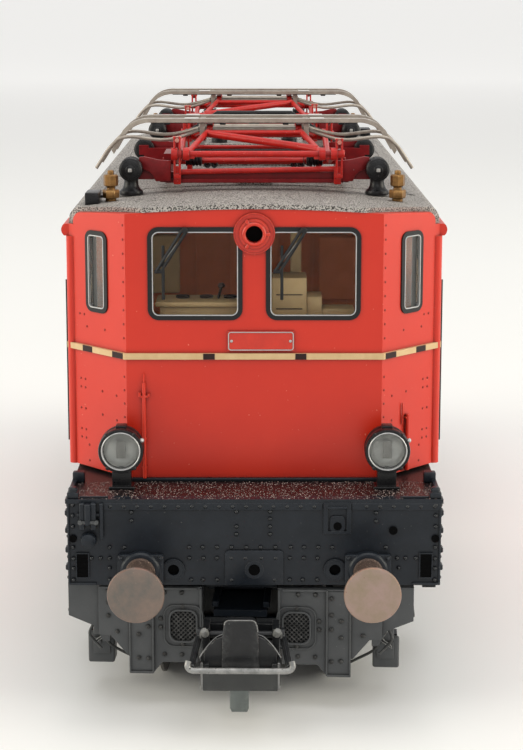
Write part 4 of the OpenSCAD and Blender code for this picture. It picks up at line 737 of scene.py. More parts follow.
# Row of tilted slats at each point; a slat lies along the point's "along"
def slat_tree():
    tree, sockets = new_tree("louvre slats", [
        ("Count", "NodeSocketInt", 8), ("Pitch", FLOAT, 0.6), ("Length", FLOAT, 8.0), ("Depth", FLOAT, 0.5),
        ("Thickness", FLOAT, 0.12), ("Tilt", FLOAT, 0.6)])
    size = add(tree, "ShaderNodeCombineXYZ", {"X": sockets["Length"], "Y": sockets["Depth"],
                                              "Z": sockets["Thickness"]}).outputs[0]
    slat = add(tree, "GeometryNodeMeshCube", {"Size": size}).outputs[0]
    tilt = add(tree, "ShaderNodeCombineXYZ", {"X": sockets["Tilt"], "Y": 0.0, "Z": 0.0}).outputs[0]
    slat = add(tree, "GeometryNodeTransform", {"Geometry": slat, "Rotation": tilt}).outputs[0]
    step = add(tree, "ShaderNodeCombineXYZ", {"X": 0.0, "Y": 0.0, "Z": sockets["Pitch"]}).outputs[0]
    half = maths(tree, "MULTIPLY", maths(tree, "SUBTRACT", sockets["Count"], 1.0),
                 maths(tree, "MULTIPLY", sockets["Pitch"], -0.5))
    start = add(tree, "ShaderNodeCombineXYZ", {"X": 0.0, "Y": 0.0, "Z": half}).outputs[0]
    row = add(tree, "GeometryNodeMeshLine", {"Count": sockets["Count"], "Start Location": start,
                                             "Offset": step}).outputs[0]
    rack = add(tree, "GeometryNodeInstanceOnPoints", {"Points": row, "Instance": slat}).outputs[0]
    facing = add(tree, "GeometryNodeInputNamedAttribute", {"Name": "facing"}, data_type="FLOAT_VECTOR")
    along = add(tree, "GeometryNodeInputNamedAttribute", {"Name": "along"}, data_type="FLOAT_VECTOR")
    turn = add(tree, "FunctionNodeAlignRotationToVector", {"Vector": along.outputs[0]}, axis="X").outputs[0]
    turn = add(tree, "FunctionNodeAlignRotationToVector", {"Rotation": turn, "Vector": facing.outputs[0]},
               axis="Y", pivot_axis="X").outputs[0]
    racks = add(tree, "GeometryNodeInstanceOnPoints", {"Points": sockets["Geometry"], "Instance": rack,
                                                       "Rotation": turn})
    return finish_tree(tree, sockets, racks.outputs[0])


# Grains scattered over the faces of the mesh it is given
def grit_tree():
    tree, sockets = new_tree("scattered grit", [("Density", FLOAT, 8.0), ("Grain Radius", FLOAT, 0.05),
                                                ("Seed", "NodeSocketInt", 3)])
    spots = add(tree, "GeometryNodeDistributePointsOnFaces", {
        "Mesh": sockets["Geometry"], "Density": sockets["Density"], "Seed": sockets["Seed"]}).outputs[0]
    grain = add(tree, "GeometryNodeMeshIcoSphere", {"Radius": sockets["Grain Radius"], "Subdivisions": 1})
    size = add(tree, "FunctionNodeRandomValue", {"Seed": sockets["Seed"]}, data_type="FLOAT")
    size.inputs[2].default_value, size.inputs[3].default_value = 0.4, 1.3
    grains = add(tree, "GeometryNodeInstanceOnPoints", {"Points": spots, "Instance": grain.outputs[0],
                                                        "Scale": size.outputs[1]})
    return finish_tree(tree, sockets, grains.outputs[0])


rivet_heads, hexagon_bolts, round_wires = rivet_tree(), bolt_tree(), wire_tree()
coil_springs, louvre_slats, scattered_grit = spring_tree(), slat_tree(), grit_tree()


# Runs a tree on a mesh in millimetres and keeps the result as a plain mesh in metres
def grow(name, source, tree, body, slot, material, angle=40, **values):
    thing = bpy.data.objects.new(name + "_source", source)
    bpy.context.scene.collection.objects.link(thing)
    modifier = thing.modifiers.new("grow", "NODES")
    modifier.node_group = tree
    values["Material"] = material
    for item in tree.interface.items_tree:
        key = item.name.replace(" ", "_")
        if item.item_type == "SOCKET" and item.in_out == "INPUT" and key in values:
            modifier[item.identifier] = values[key]
    depsgraph = bpy.context.evaluated_depsgraph_get()
    made = bpy.data.meshes.new_from_object(thing.evaluated_get(depsgraph), depsgraph=depsgraph)
    bpy.data.objects.remove(thing)
    made.transform(Matrix.Scale(MM, 4))
    return settle(name, made, body, material, angle)


# Mesh of bare points with their directions
def points_mesh(points, along=None):
    mesh = bpy.data.meshes.new("points")
    mesh.from_pydata([p for p, _ in points], [], [])
    facing = mesh.attributes.new("facing", "FLOAT_VECTOR", "POINT")
    for i, (_, direction) in enumerate(points):
        facing.data[i].vector = direction
    if along:
        runs = mesh.attributes.new("along", "FLOAT_VECTOR", "POINT")
        for i, direction in enumerate(along):
            runs.data[i].vector = direction
    return mesh


# Points on the X, Z plane of a place, facing -Y there
def placed(place, spots, y=0.0):
    turn = place.to_3x3()
    facing = (turn @ Vector(FORWARD)).normalized()
    return [(place @ Vector((x, y, z)), facing) for x, z in spots]


def paths_mesh(paths, place=None):
    verts, edges = [], []
    for path in paths:
        first = len(verts)
        verts += [(place or Matrix()) @ Vector(p) for p in path]
        edges += [(first + i, first + i + 1) for i in range(len(path) - 1)]
    mesh = bpy.data.meshes.new("paths")
    mesh.from_pydata(verts, edges, [])
    return mesh


# Smooth path through a few points
def curved(points, steps=6):
    points = [Vector(p) for p in points]
    ends = [points[0] * 2 - points[1]] + points + [points[-1] * 2 - points[-2]]
    path = []
    for a, b, c, d in zip(ends, ends[1:], ends[2:], ends[3:]):
        for i in range(steps):
            t = i / steps
            path.append(0.5 * (2 * b + (c - a) * t + (2 * a - 5 * b + 4 * c - d) * t * t
                               + (3 * b - a - 3 * c + d) * t * t * t))
    return path + [points[-1]]


# ------------------------------------------------------------ sizes shared with the CAD
FRAME_W = 0.42                                # width of a window's black frame
END_WINDOW = (8.5, 8.4, 1.0)                  # width, height, corner radius
CORNER_WINDOW = (3.0, 7.5, 0.8)
SIDE_WINDOW = (5.6, 5.8, 0.6)
DOOR_GLASS = (4.0, 5.2, 0.6)
end_window_x = 5.3
end_window_z = deck_z + 19.1
corner_window_z = deck_z + 18.85
side_window_z = deck_z + 18.0
door_w = 5.8
door_y = side_y - 1 - door_w / 2
cab_window_y = door_y - door_w / 2 - 1.3 - SIDE_WINDOW[0] / 2
bay = (2 * cab_window_y - SIDE_WINDOW[0]) / 5
top_lamp_z = end_window_z + END_WINDOW[1] / 2 - 0.55
lamp_x, lamp_z, lamp_y = 11.9, deck_z + 3.6, -cab_y - 3.6
buffer_x, buffer_z, buffer_reach = 10.05, deck_z - 6.45, 7.3
hose_x = 7.15
insulator_x, insulator_y, insulator_z = 11.65, 11.0, crown_z + 2.05
cross_y = insulator_y - 1.4
base_rail_z = crown_z + 0.75
bow_top = head_z + 1.15
bow_y = 2.5
whistle_x, whistle_y = 13.3, -cab_y + 7.4
side_face_x = 11.8                            # outer face of a bogie's side frame
axle_reach = 14.5                             # a wheel set's distance from its bogie's pivot
nose_y = -18.6                                # front of the bogie's block, behind the guards
coupler_z = axle_z - 1.1                      # middle of the coupler's shank
rivet_pitch = 1.35
plate_z = waist_z + 1.4                       # middle of the number plate
WHEEL_AT = {("front", -1): 1, ("front", 1): 2, ("rear", 1): 3, ("rear", -1): 4}
MIRROR_X = Matrix.Scale(-1, 4, (1, 0, 0))


def flipped(side):
    return MIRROR_X if side < 0 else Matrix()


# ------------------------------------------------------------ body
CORNER_ROW = [(0.3, 32.8 + 1.28 * k) for k in range(9)] + [(0.3, z) for z in (
    29.24, 28.0, 26.75, 25.5, 24.2, 23.0, 21.7, 20.5)]
# Rivets of a slanted panel: share of its width from the outer edge, then height
PANEL_RIVETS = ([(t, z) for t in (0.18, 0.26) for z in (34.3, 28.2, 27.4, 25.4, 23.4, 22.6)]
                + [(0.306, 33.2), (0.627, 33.2), (0.567, 27.4), (0.567, 25.2), (0.82, 27.3), (0.82, 25.0),
                   (0.317, 22.0), (0.317, 20.5)])


def body_rivets():
    points = []
    for _, end in ENDS:
        for side in SIDES:
            place = on_corner(end, side)
            spots = [(-corner_half + x, z) for x, z in CORNER_ROW]
            spots += [(corner_half * (1 - 2 * t), z) for t, z in PANEL_RIVETS]
            points += placed(place, spots)
    for side in SIDES:
        span = int(side_y / rivet_pitch)
        spots = [(i * rivet_pitch, z) for z in (base_z + 0.45, eaves_z - 1.5) for i in range(-span, span + 1)]
        for seam in (-2.5, -1.5, -0.5, 0.5, 1.5, 2.5):
            spots += [(seam * bay, base_z + 1.8 + 1.3 * k) for k in range(8)]
            spots += [(seam * bay, waist_z + 1.2 + 1.3 * k) for k in range(7)]
        points += placed(on_wall(side), spots)
    grow("body_rivets", points_mesh(points), rivet_heads, "body", "body_red", rivet_red_painted_shade,
         Radius=0.115, Height=0.07, Sides=8)


def window_lines():
    lines = Piece("window_inner_lines", "body", "plate_metal", silver)

    def line(size, place, x, z, y=-0.15, frame_w=FRAME_W):
        w, h, r = size[0] - 2 * frame_w, size[1] - 2 * frame_w, size[2] - frame_w
        lines.frame(rounded(w + 0.04, h + 0.04, r + 0.02, 6, x, z),
                    rounded(w - 0.14, h - 0.14, max(r - 0.07, 0.05), 6, x, z), y, 0.12, place)

    for _, end in ENDS:
        for x in (-end_window_x, end_window_x):
            line(END_WINDOW, on_end(end) @ Matrix.Translation((0, -cab_y, 0)), x, end_window_z)
        for side in SIDES:
            line(CORNER_WINDOW, on_corner(end, side), 0, corner_window_z)
    for side in SIDES:
        for y in (-cab_window_y, -bay, bay, cab_window_y):
            line(SIDE_WINDOW, on_wall(side, y), 0, side_window_z)
    lines.done()
    seals = Piece("door_window_seals", "body", "seal_black", seal_black)
    for side in SIDES:
        for y in (-door_y, door_y):
            w, h, r = DOOR_GLASS
            seals.frame(rounded(w, h, r, 6, 0, side_window_z),
                        rounded(w - 0.5, h - 0.5, r - 0.2, 6, 0, side_window_z), 0.22, 0.5, on_wall(side, y))
    seals.done()


# Pairs of arms with a blade each, parked at the left of every end window, with a painted glint between the
# two arms
def wiper_sets():
    arms = Piece("wiper_arms", "body", "seal_black", seal_black)
    glints = Piece("wiper_blade_edges", "body", "seal_black", silver)
    for _, end in ENDS:
        for x in (-end_window_x, end_window_x):
            place = on_end(end) @ Matrix.Translation((x, -cab_y, 0))
            top, foot = (-0.9, end_window_z + 3.95), (-3.2, end_window_z + 0.3)
            blade, arm_y = -2.83, -0.42
            for gap in (-0.24, 0.2):
                arms.rod((top[0] + gap, arm_y, top[1]), (foot[0] + gap, arm_y, foot[1]), 0.15, 10,
                         place=place)
            arms.box((foot[0] - 0.4, -0.52, foot[1] - 0.2), (foot[0] + 0.44, -0.3, foot[1] + 0.14),
                     place=place)
            arms.rod((top[0], -0.55, top[1]), (top[0], -0.05, top[1]), 0.28, 14, place=place)
            arms.box((blade - 0.14, -0.45, end_window_z - 2.3), (blade + 0.14, -0.2, end_window_z + 2.6),
                     place=place)
            # painted glint: a thin silver rod between each pair of arms stands in for a reflection
            glints.rod((top[0] - 0.02, -0.46, top[1] - 0.3), (foot[0] - 0.02, -0.46, foot[1] + 0.3), 0.035, 6,
                       place=place)
    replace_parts(arms.done(), "wipers")
    glints.done()


def body_fittings():
    marks = Piece("waist_line_marks", "body", "cream", dark_brown)
    pipes = Piece("corner_pipes", "body", "body_red", red)
    rims = Piece("top_lamp_rims", "body", "body_red", lamp_red)
    well_shades = Piece("top_lamp_wells", "body", "seal_black", painted_hole_shade)
    borders = Piece("number_plate_borders", "body", "plate_metal", silver)
    mark_half = 0.275
    pipe_x, pipe_y, pipe_top = -9.97, -0.3, 28.8
    for _, end in ENDS:
        wall = on_end(end) @ Matrix.Translation((0, -cab_y, 0))
        for a, b in ((-4.6, -3.55), (3.7, 4.7)):
            marks.box((a, -0.34, waist_z - mark_half), (b, -0.2, waist_z + mark_half), 0.02, place=wall)
        for side in SIDES:
            for a, b in ((0.27, 0.44), (0.8, 0.985)):
                x = sorted((corner_half * (1 - 2 * a), corner_half * (1 - 2 * b)))
                marks.box((x[0], -0.34, waist_z - mark_half), (x[1], -0.2, waist_z + mark_half), 0.02,
                          place=on_corner(end, side))
        # drain pipe beside the left corner, a short one on the right slanted panel
        pipes.rod((pipe_x, pipe_y, deck_z + 0.3), (pipe_x, pipe_y, pipe_top), 0.17, 12, place=wall)
        pipes.rod((pipe_x, pipe_y, 28.6), (pipe_x, pipe_y, 29.6), 0.08, 8, place=wall)
        pipes.box((-10.3, -0.42, 27.4), (-9.6, 0.05, 27.62), 0.04, place=wall)
        pipes.rod((-10.35, -0.32, 27.5), (-10.35, -0.32, 27.9), 0.13, 8, place=wall)
        pipes.rod((-9.55, -0.32, 27.5), (-9.55, -0.32, 27.8), 0.11, 8, place=wall)
        for z in (23.5, 20.8):
            pipes.box((-10.2, -0.36, z), (-9.74, 0.05, z + 0.18), 0.03, place=wall)
        panel = on_corner(end, 1)
        x = corner_half * (1 - 2 * 0.57)
        pipes.rod((x, -0.25, deck_z + 0.4), (x, -0.25, 25.3), 0.2, 12, place=panel)
        pipes.rod((x - 0.6, -0.15, 24.4), (x - 0.6, -0.15, 26.4), 0.06, 8, place=panel)
        for z in (24.9, 21.9):
            pipes.box((x - 0.32, -0.33, z), (x + 0.32, 0.04, z + 0.18), 0.03, place=panel)
        borders.frame(rounded(5.9, 1.7, 0.25, 4, 0.6, plate_z), rounded(5.74, 1.54, 0.18, 4, 0.6, plate_z),
                      -0.24, -0.15, wall)
        for x in (-2.05, 3.25):
            borders.turned([(0, 0), (0.13, 0), (0.13, 0.04), (0.07, 0.08), (0, 0.09)], (x, -0.19, plate_z),
                           FORWARD, 14, wall)
        lamp = wall @ Matrix.Translation((0, 0, top_lamp_z))
        rims.turned([(0.78, 0.6), (0.78, 0.86), (0.84, 0.92), (0.98, 0.92), (1.06, 0.84), (1.08, 0.68),
                     (1.3, 0.64), (1.34, 0.58), (1.34, 0.3), (0.8, 0.3)], HERE, FORWARD, 48, lamp, ring=True)
        rims.turned([(1.74, 0.2), (1.76, 0.33), (1.84, 0.33), (1.86, 0.2)], HERE, FORWARD, 60, lamp,
                    ring=True)
        # painted shade: a near-black disc closes the lamp's opening
        well_shades.turned([(0, 0.02), (0.74, 0.02), (0.74, 0.1), (0.5, 0.06), (0, 0.05)], HERE, FORWARD, 32, lamp)
        for i in range(3):
            turn = Matrix.Rotation(math.radians(90 + 120 * i), 4, "Y")
            rims.box((-0.14, -0.84, 1.02), (0.14, -0.3, 1.44), 0.05, place=lamp @ turn)
    for piece in (marks, pipes, rims, well_shades, borders):
        piece.done()


# Doors, window sills, louvres and the like along the side walls
def side_fittings():
    trim = Piece("side_wall_trim", "body", "body_red", red)
    metal = Piece("door_handles", "body", "plate_metal", plate_metal)
    points, runs = [], []
    for side in SIDES:
        for y in (-2 * bay, 0, 2 * bay):
            place = on_wall(side, y)
            trim.frame(rounded(9.9, 6.1, 0.42, 4, 0, side_window_z),
                       rounded(9.46, 5.66, 0.26, 4, 0, side_window_z), -0.1, 0.2, place)
            for x in (-1.6, 1.6):
                trim.box((x - 0.09, -0.06, side_window_z - 2.85), (x + 0.09, 0.29, side_window_z + 2.85),
                         0.02, place=place)
            for x in (-3.2, 0, 3.2):
                spot = placed(place, [(x, side_window_z)], 0.13)[0]
                points.append(spot)
                runs.append(place.to_3x3() @ Vector((1, 0, 0)))
        for y in (-door_y, door_y):
            place = on_wall(side, y)
            low_z, high_z = base_z + 1.45, side_window_z + 3.45
            half = door_w / 2
            trim.frame(oblong(-half + 0.1, low_z, half - 0.1, high_z),
                       oblong(-half + 0.32, low_z + 0.22, half - 0.32, high_z - 0.22), 0.18, 0.34, place)
            trim.frame(rounded(door_w - 1.4, 8.4, 0.3, 3, 0, base_z + 6.9),
                       rounded(door_w - 1.75, 8.05, 0.2, 3, 0, base_z + 6.9), 0.2, 0.34, place)
            trim.box((-half - 0.3, -0.45, high_z + 0.35), (half + 0.3, 0.02, high_z + 0.5), 0.05, place=place)
            metal.rod((half - 0.75, -0.12, waist_z - 1.2), (half - 0.75, 0.32, waist_z - 1.2), 0.13, 10,
                      place=place)
            metal.rod((half - 0.75, -0.1, waist_z - 1.2), (half - 1.75, -0.1, waist_z - 1.2), 0.1, 8,
                      place=place)
            metal.box((-half, 0.05, base_z + 1.2), (half, 0.31, base_z + 1.42), 0.03, place=place)
            for z in (base_z + 3.2, waist_z, side_window_z + 2.2):
                trim.rod((-half + 0.12, 0.1, z - 0.35), (-half + 0.12, 0.1, z + 0.35), 0.13, 8, place=place)
        for y in (-cab_window_y, -bay, bay, cab_window_y):
            place = on_wall(side, y)
            trim.box((-3.1, -0.22, side_window_z - 3.25), (3.1, 0.02, side_window_z - 3.02), 0.05,
                     place=place)
    trim.done()
    metal.done()
    grow("louvre_slats", points_mesh(points, runs), louvre_slats, "body", "body_red", red,
         Count=9, Pitch=0.6, Length=3.02, Depth=0.42, Thickness=0.12, Tilt=0.65)


# ------------------------------------------------------------ cab
def cab_fittings():
    tan = Piece("cab_desks", "body", "cab_brown", desk_tan)
    dark = Piece("cab_instruments", "body", "cab_brown", dark_brown)
    wood = Piece("cab_walls", "body", "cab_brown", cab_brown)
    desk_top = deck_z + 13.4
    for _, end in ENDS:
        place = on_end(end) @ Matrix.Translation((0, -cab_y, 0))
        # driver's desk with a thick light top, and the cabinet of instruments beside it
        tan.box((-8.6, 2.6, desk_top), (-0.3, 6.2, desk_top + 2.3), 0.12, 2, place)
        tan.box((-9.0, 2.2, desk_top + 2.3), (0, 6.4, desk_top + 2.75), 0.1, 2, place)
        tan.box((1.6, 2.8, desk_top), (4.8, 6.4, desk_top + 4.9), 0.14, 2, place)
        tan.box((4.8, 3.2, desk_top), (6.2, 6.2, desk_top + 3.1), 0.1, 2, place)
        tan.box((6.2, 3.4, desk_top), (9.2, 6.0, desk_top + 1.9), 0.1, 2, place)
        tan.box((3.4, 7.5, desk_top + 2), (4.4, 8.5, desk_top + 9.3), 0.08, 1, place)
        for x in (-6.6, -4.4, -2.2):
            dark.turned([(0, 0), (0.62, 0), (0.62, 0.2), (0, 0.25)], (x, 4.8, desk_top + 2.75), UP, 20, place)
        dark.rod((-3.3, 4.2, desk_top + 2.8), (-3.0, 3.6, desk_top + 4.0), 0.13, 8, place=place)
        dark.turned([(0, 0), (0.3, 0.1), (0.34, 0.3), (0.2, 0.5), (0, 0.55)], (-3.0, 3.6, desk_top + 3.8), UP,
                    12, place)
        for z in (desk_top + 0.7, desk_top + 2.0, desk_top + 3.3):
            dark.box((2.0, 2.72, z), (4.4, 2.86, z + 0.08), 0.01, 1, place)
        # lining of the back wall: door, boards and pipes
        back = 18.7
        wood.box((-2.4, back - 0.25, deck_z + 2.6), (2.4, back, deck_z + 21.0), 0.06, 1, place)
        wood.frame(rounded(3.4, 6.0, 0.3, 3, 0, deck_z + 16.6), rounded(2.8, 5.4, 0.2, 3, 0, deck_z + 16.6),
                   back - 0.36, back - 0.2, place)
        for x in (-12.6, -9.2, -5.8, 5.8, 9.2, 12.6):
            wood.box((x - 0.09, back - 0.12, deck_z + 3), (x + 0.09, back + 0.05, deck_z + 22), 0.03, 1,
                     place)
        for z in (deck_z + 11.8, deck_z + 20.4):
            wood.box((-15.4, back - 0.16, z), (15.4, back + 0.05, z + 0.2), 0.03, 1, place)
        wood.box((6.4, back - 0.5, deck_z + 13.6), (10.4, back - 0.1, deck_z + 20.0), 0.12, 1, place)
        tan.box((-11.2, back - 1.1, deck_z + 14.4), (-7.4, back - 0.1, deck_z + 20.2), 0.12, 1, place)
        for x in (-5.4, 5.4):                       # seat cushions and backs
            dark.box((x - 1.95, 9.9, deck_z + 7.9), (x + 1.95, 13.1, deck_z + 8.6), 0.25, 3, place)
            for leg in (x - 1.6, x + 1.6):
                wood.rod((leg, 13.6, deck_z + 8), (leg, 13.6, deck_z + 12), 0.16, 8, place=place)
    for piece in (tan, dark, wood):
        piece.done()


# ------------------------------------------------------------ lamps and platforms
def platform_lamps():
    shades = Piece("lamp_shades", "body", "fitting_black", fitting_black)
    bright = Piece("lamp_rims", "body", "plate_metal", silver)
    dishes = Piece("lamp_dishes", "body", "plate_metal", dish_grey)
    for _, end in ENDS:
        for side in SIDES:
            lamp = on_end(end) @ Matrix.Translation((side * lamp_x, lamp_y, lamp_z))
            # one solid cup: up the inside from its floor, over the rim, back along the outside
            shades.turned([(0, -2.4), (1.55, -2.3), (1.6, -0.45), (1.68, -0.3), (1.72, -0.1), (1.98, -0.14),
                           (2.04, -0.3), (2.04, -0.62), (1.96, -0.74), (1.96, -1.5), (2.02, -1.6),
                           (2.0, -1.9),
                           (1.9, -2.5), (1.4, -2.64), (0.6, -2.69), (0, -2.69)], HERE, FORWARD, 56, lamp)
            shades.box((-0.85, 0.75, deck_z - lamp_z), (0.85, 1.95, -1.5), 0.08, 2, lamp)
            shades.box((-1.15, 0.4, deck_z - lamp_z), (1.15, 2.2, deck_z - lamp_z + 0.28), 0.06, 1, lamp)
            for angle in (52, 128, 232, 308):
                turn = Matrix.Rotation(math.radians(angle), 4, "Y")
                shades.box((1.8, 0.08, -0.16), (2.1, 0.7, 0.16), 0.05, 1, lamp @ turn)
            shades.box((-0.5, 0.9, 1.85), (0.5, 2.0, 2.18), 0.1, 2, lamp)
            bright.turned([(1.63, -0.36), (1.63, -0.1), (1.7, -0.05), (1.76, -0.1), (1.74, -0.36)],
                          HERE, FORWARD, 56, lamp, ring=True)
            bright.turned([(0, 0), (0.17, 0), (0.2, 0.08), (0.2, 0.3), (0.12, 0.38), (0, 0.4)],
                          (1.72, 0.45, 0.92), (0.8, -0.5, 0.3), 12, lamp)
            # dish behind the glass, with a boss in the middle and a frosted block in front of it
            dishes.turned([(0, -1.6), (1.52, -1.5), (1.56, -0.74), (1.45, -1.0), (1.1, -1.24), (0.5, -1.36),
                           (0.3, -1.3), (0.26, -1.06), (0, -1.02)], HERE, FORWARD, 48, lamp)
            dishes.box((-0.42, 0.72, -0.75), (0.42, 0.8, 0.85), 0.1, 2, lamp)
    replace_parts(shades.done(), "platform_lamps")
    bright.done()
    dishes.done()


def platform_fittings(name, end):
    place = on_end(end)
    edges = Piece("platform_edging_" + name, "body", "fitting_black", frame_black, place)
    for side in SIDES:
        # stubs and edging at the platform's corners
        mirror = flipped(side)
        edges.box((15.5, -apron_y + 0.1, deck_z), (16.5, -apron_y + 1.1, deck_z + 0.55), 0.1, 2, mirror)
        edges.turned([(0, 0), (0.42, 0), (0.42, 0.3), (0.3, 0.45), (0, 0.5)],
                     (16.0, -apron_y + 0.6, deck_z + 0.5), UP, 16, mirror)
        edges.box((16.1, -apron_y + 1.0, deck_z), (16.55, -cab_y - 0.2, deck_z + 0.3), 0.06, 1, mirror)
        edges.box((15.4, -cab_y - 0.9, deck_z), (16.5, -cab_y - 0.1, deck_z + 1.0), 0.12, 2, mirror)
        edges.box((12.9, -apron_y + 0.3, deck_z), (15.4, -apron_y + 0.55, deck_z + 0.18), 0.04, 1, mirror)
    edges.box((-11.2, -cab_y - 0.35, deck_z), (11.2, -cab_y - 0.02, deck_z + 0.32), 0.08, 2)
    edges.done()
    top = bpy.data.meshes.new("deck")
    corners = [(-16.1, -apron_y + 0.1), (16.1, -apron_y + 0.1), (16.1, -cab_y - 0.4), (-16.1, -cab_y - 0.4)]
    top.from_pydata([place @ Vector((x, y, deck_z)) for x, y in corners], [], [(0, 1, 2, 3)])
    grow("deck_grit_" + name, top, scattered_grit, "body", "frame_black", deck_grit, angle=60,
         Density=15.0, Grain_Radius=0.048, Seed=5)


# ------------------------------------------------------------ aprons and buffers
STRIP_RIVETS = [(-12.7 + 1.2 * k, 18.93) for k in range(16)] + [(9.9 + 1.2 * k, 18.93) for k in range(6)]
COLUMN_RIVETS = ([(-10.84, z) for z in (18.4, 17.65)] + [(-1.57, z) for z in (18.45, 17.1, 16.4)]
                 + [(1.4, z) for z in (18.45, 17.8, 17.1, 16.4)] + [(10.74, z) for z in (18.35, 17.6)]
                 + [(s * 16.0, z) for s in (-1, 1) for z in (19.05, 18.1, 17.1, 15.2, 14.15, 13.25, 12.2)])
FIELD_RIVETS = ([(x, 15.2) for x in (-12.8, -11.5, -5.75, -4.56, -3.3, -2.0, -0.7, 0.57, 1.87, 3.24, 4.4,
                                     5.67, 6.9, 11.65)]
                + [(x, 14.2) for x in (-14.4, -13.6, -12.8, -5.75, -4.5, -3.3, -2.05, -0.8, 0.64, 1.9, 3.15,
                                       4.4, 5.6, 12.65, 13.4, 14.3)]
                + [(-12.8, 13.3), (12.8, 13.3)]
                + [(x, 12.2) for x in (-12.8, -5.6, -4.56, -3.3, -2.0, 1.8, 3.15, 4.3, 5.6)])


def hook_plate():
    return ([(-2.6, 11.75), (2.6, 11.75)] + arc(2.2, 14.54, 0.4, 0, 90, 4) + arc(-2.2, 14.54, 0.4, 90, 180,
                                                                                 4))


def apron_fittings(name, end):
    place = on_end(end)
    face = -apron_y
    trim = Piece("apron_mouldings_" + name, "body", "frame_black", frame_black, place)
    hole_shades = Piece("apron_holes_" + name, "body", "seal_black", painted_hole_shade, place)
    metal = Piece("jumper_clamp_" + name, "body", "guard_grey", guard_grey, place)
    for a, b in ((-13.3, 6.0), (8.6, 16.4)):
        trim.box((a, face - 0.08, 18.62), (b, face + 0.05, 19.24), 0.03)
    # square bracket at the right, with its own small hole
    trim.frame(oblong(6.1, 16.45, 8.55, 19.35), oblong(6.5, 16.7, 8.15, 18.95), face - 0.12, face + 0.05)
    trim.box((6.45, face - 0.3, 18.75), (8.2, face, 18.98), 0.06, 2)
    trim.plate(rounded(1.35, 1.5, 0.35, 4, 7.35, 17.35), face - 0.06, face + 0.05)
    # painted shade: flat near-black discs stand for the insides of the holes
    for x, z, r in ((12.27, 16.75, 0.38), (-16.0, 16.0, 0.34), (16.0, 16.0, 0.34)):
        hole_shades.turned([(0, 0), (r, 0), (r, 0.09), (r * 0.7, 0.07), (0, 0.03)], (x, face, z), FORWARD, 20)
    hole_shades.turned([(0, 0), (0.37, 0), (0.37, 0.03), (0, 0.02)], (7.35, face - 0.06, 17.15), FORWARD, 20)
    # plate round the draw hook's socket, with a rounded head
    trim.plate(hook_plate(), face - 0.1, face + 0.05, 0.04, 2)
    trim.frame(circle(0, buffer_z, 0.82), circle(0, buffer_z, 0.52), face - 0.16, face)
    # painted shade discs behind the hose holes and in the draw hook's socket
    for x in (-hose_x, hose_x):
        hole_shades.turned([(0, 0.1), (0.5, 0.1), (0.5, 0.16), (0, 0.13)], (x, face + 0.3, buffer_z), FORWARD, 20)
        trim.frame(circle(x, buffer_z, 1.0), circle(x, buffer_z, 0.86), face - 0.14, face)
    hole_shades.turned([(0, 0), (0.5, 0), (0.5, 0.02), (0, 0.015)], (0, face - 0.1, buffer_z), FORWARD, 28)
    for side in SIDES:
        mirror = flipped(side)
        # vent as a painted shade sheet with four bars in the same near-black, and the bead down the apron's
        # edge
        hole_shades.box((14.7, face - 0.05, 12.45), (15.7, face + 0.1, 14.6), 0.01, 1, mirror)
        trim.frame(oblong(14.6, 12.35, 15.8, 14.7), oblong(14.7, 12.45, 15.7, 14.6), face - 0.09,
                   face + 0.03, mirror)
        for z in (12.85, 13.28, 13.71, 14.14):
            hole_shades.box((14.72, face - 0.075, z), (15.68, face, z + 0.07), 0.02, 1, mirror)
        trim.box((16.3, face - 0.05, 11.8), (16.5, face + 0.3, 19.2), 0.04, 1, mirror)
        for z in (18.3, 16.7, 14.9, 13.3):
            trim.box((16.35, face + 0.1, z - 0.25), (16.72, face + 1.0, z + 0.25), 0.08, 1, mirror)
        trim.box((14.0, face - 0.06, 11.72), (16.4, face + 0.05, 11.95), 0.03, 1, mirror)
    # socket bracket for the jumper cable, on the left
    for x in (-15.15, -14.15):
        trim.box((x - 0.22, face - 0.55, 16.9), (x + 0.22, face + 0.02, 19.35), 0.07, 1)
    trim.box((-15.6, face - 0.3, 18.1), (-13.6, face + 0.02, 18.35), 0.05, 1)
    trim.rod((-14.65, face - 0.5, 19.3), (-14.65, face - 0.5, 17.4), 0.3, 16)
    trim.turned([(0, 0), (0.62, 0), (0.7, 0.2), (0.62, 0.75), (0.35, 0.85), (0, 0.88)], (-14.6, face, 15.95),
                FORWARD, 20)
    trim.box((-13.62, face - 0.45, 16.0), (-13.3, face + 0.02, 19.3), 0.06, 1)
    metal.box((-15.5, face - 0.7, 17.5), (-13.7, face - 0.05, 17.78), 0.06, 1)
    for x in (-15.3, -13.9):
        metal.turned([(0, 0), (0.2, 0), (0.2, 0.22), (0, 0.28)], (x, face - 0.55, 17.65), FORWARD, 10)
    for piece in (trim, hole_shades, metal):
        piece.done()
    plate = [p for p in STRIP_RIVETS if not 5.6 < p[0] < 9.0]
    spots = placed(place, plate + COLUMN_RIVETS + FIELD_RIVETS, face)
    for side in SIDES:
        edge = place @ Matrix.Translation((side * 16.5, 0, 0)) @ turn_about_z(90 * side)
        spots += placed(edge,
                        [(side * x, 12.2 + 0.95 * k) for x in (face + 0.8, face + 4.2) for k in range(8)])
    grow("apron_rivets_" + name, points_mesh(spots), rivet_heads, "body", "frame_black", apron_rivet_painted_shade,
         Radius=0.19, Height=0.17, Sides=12)


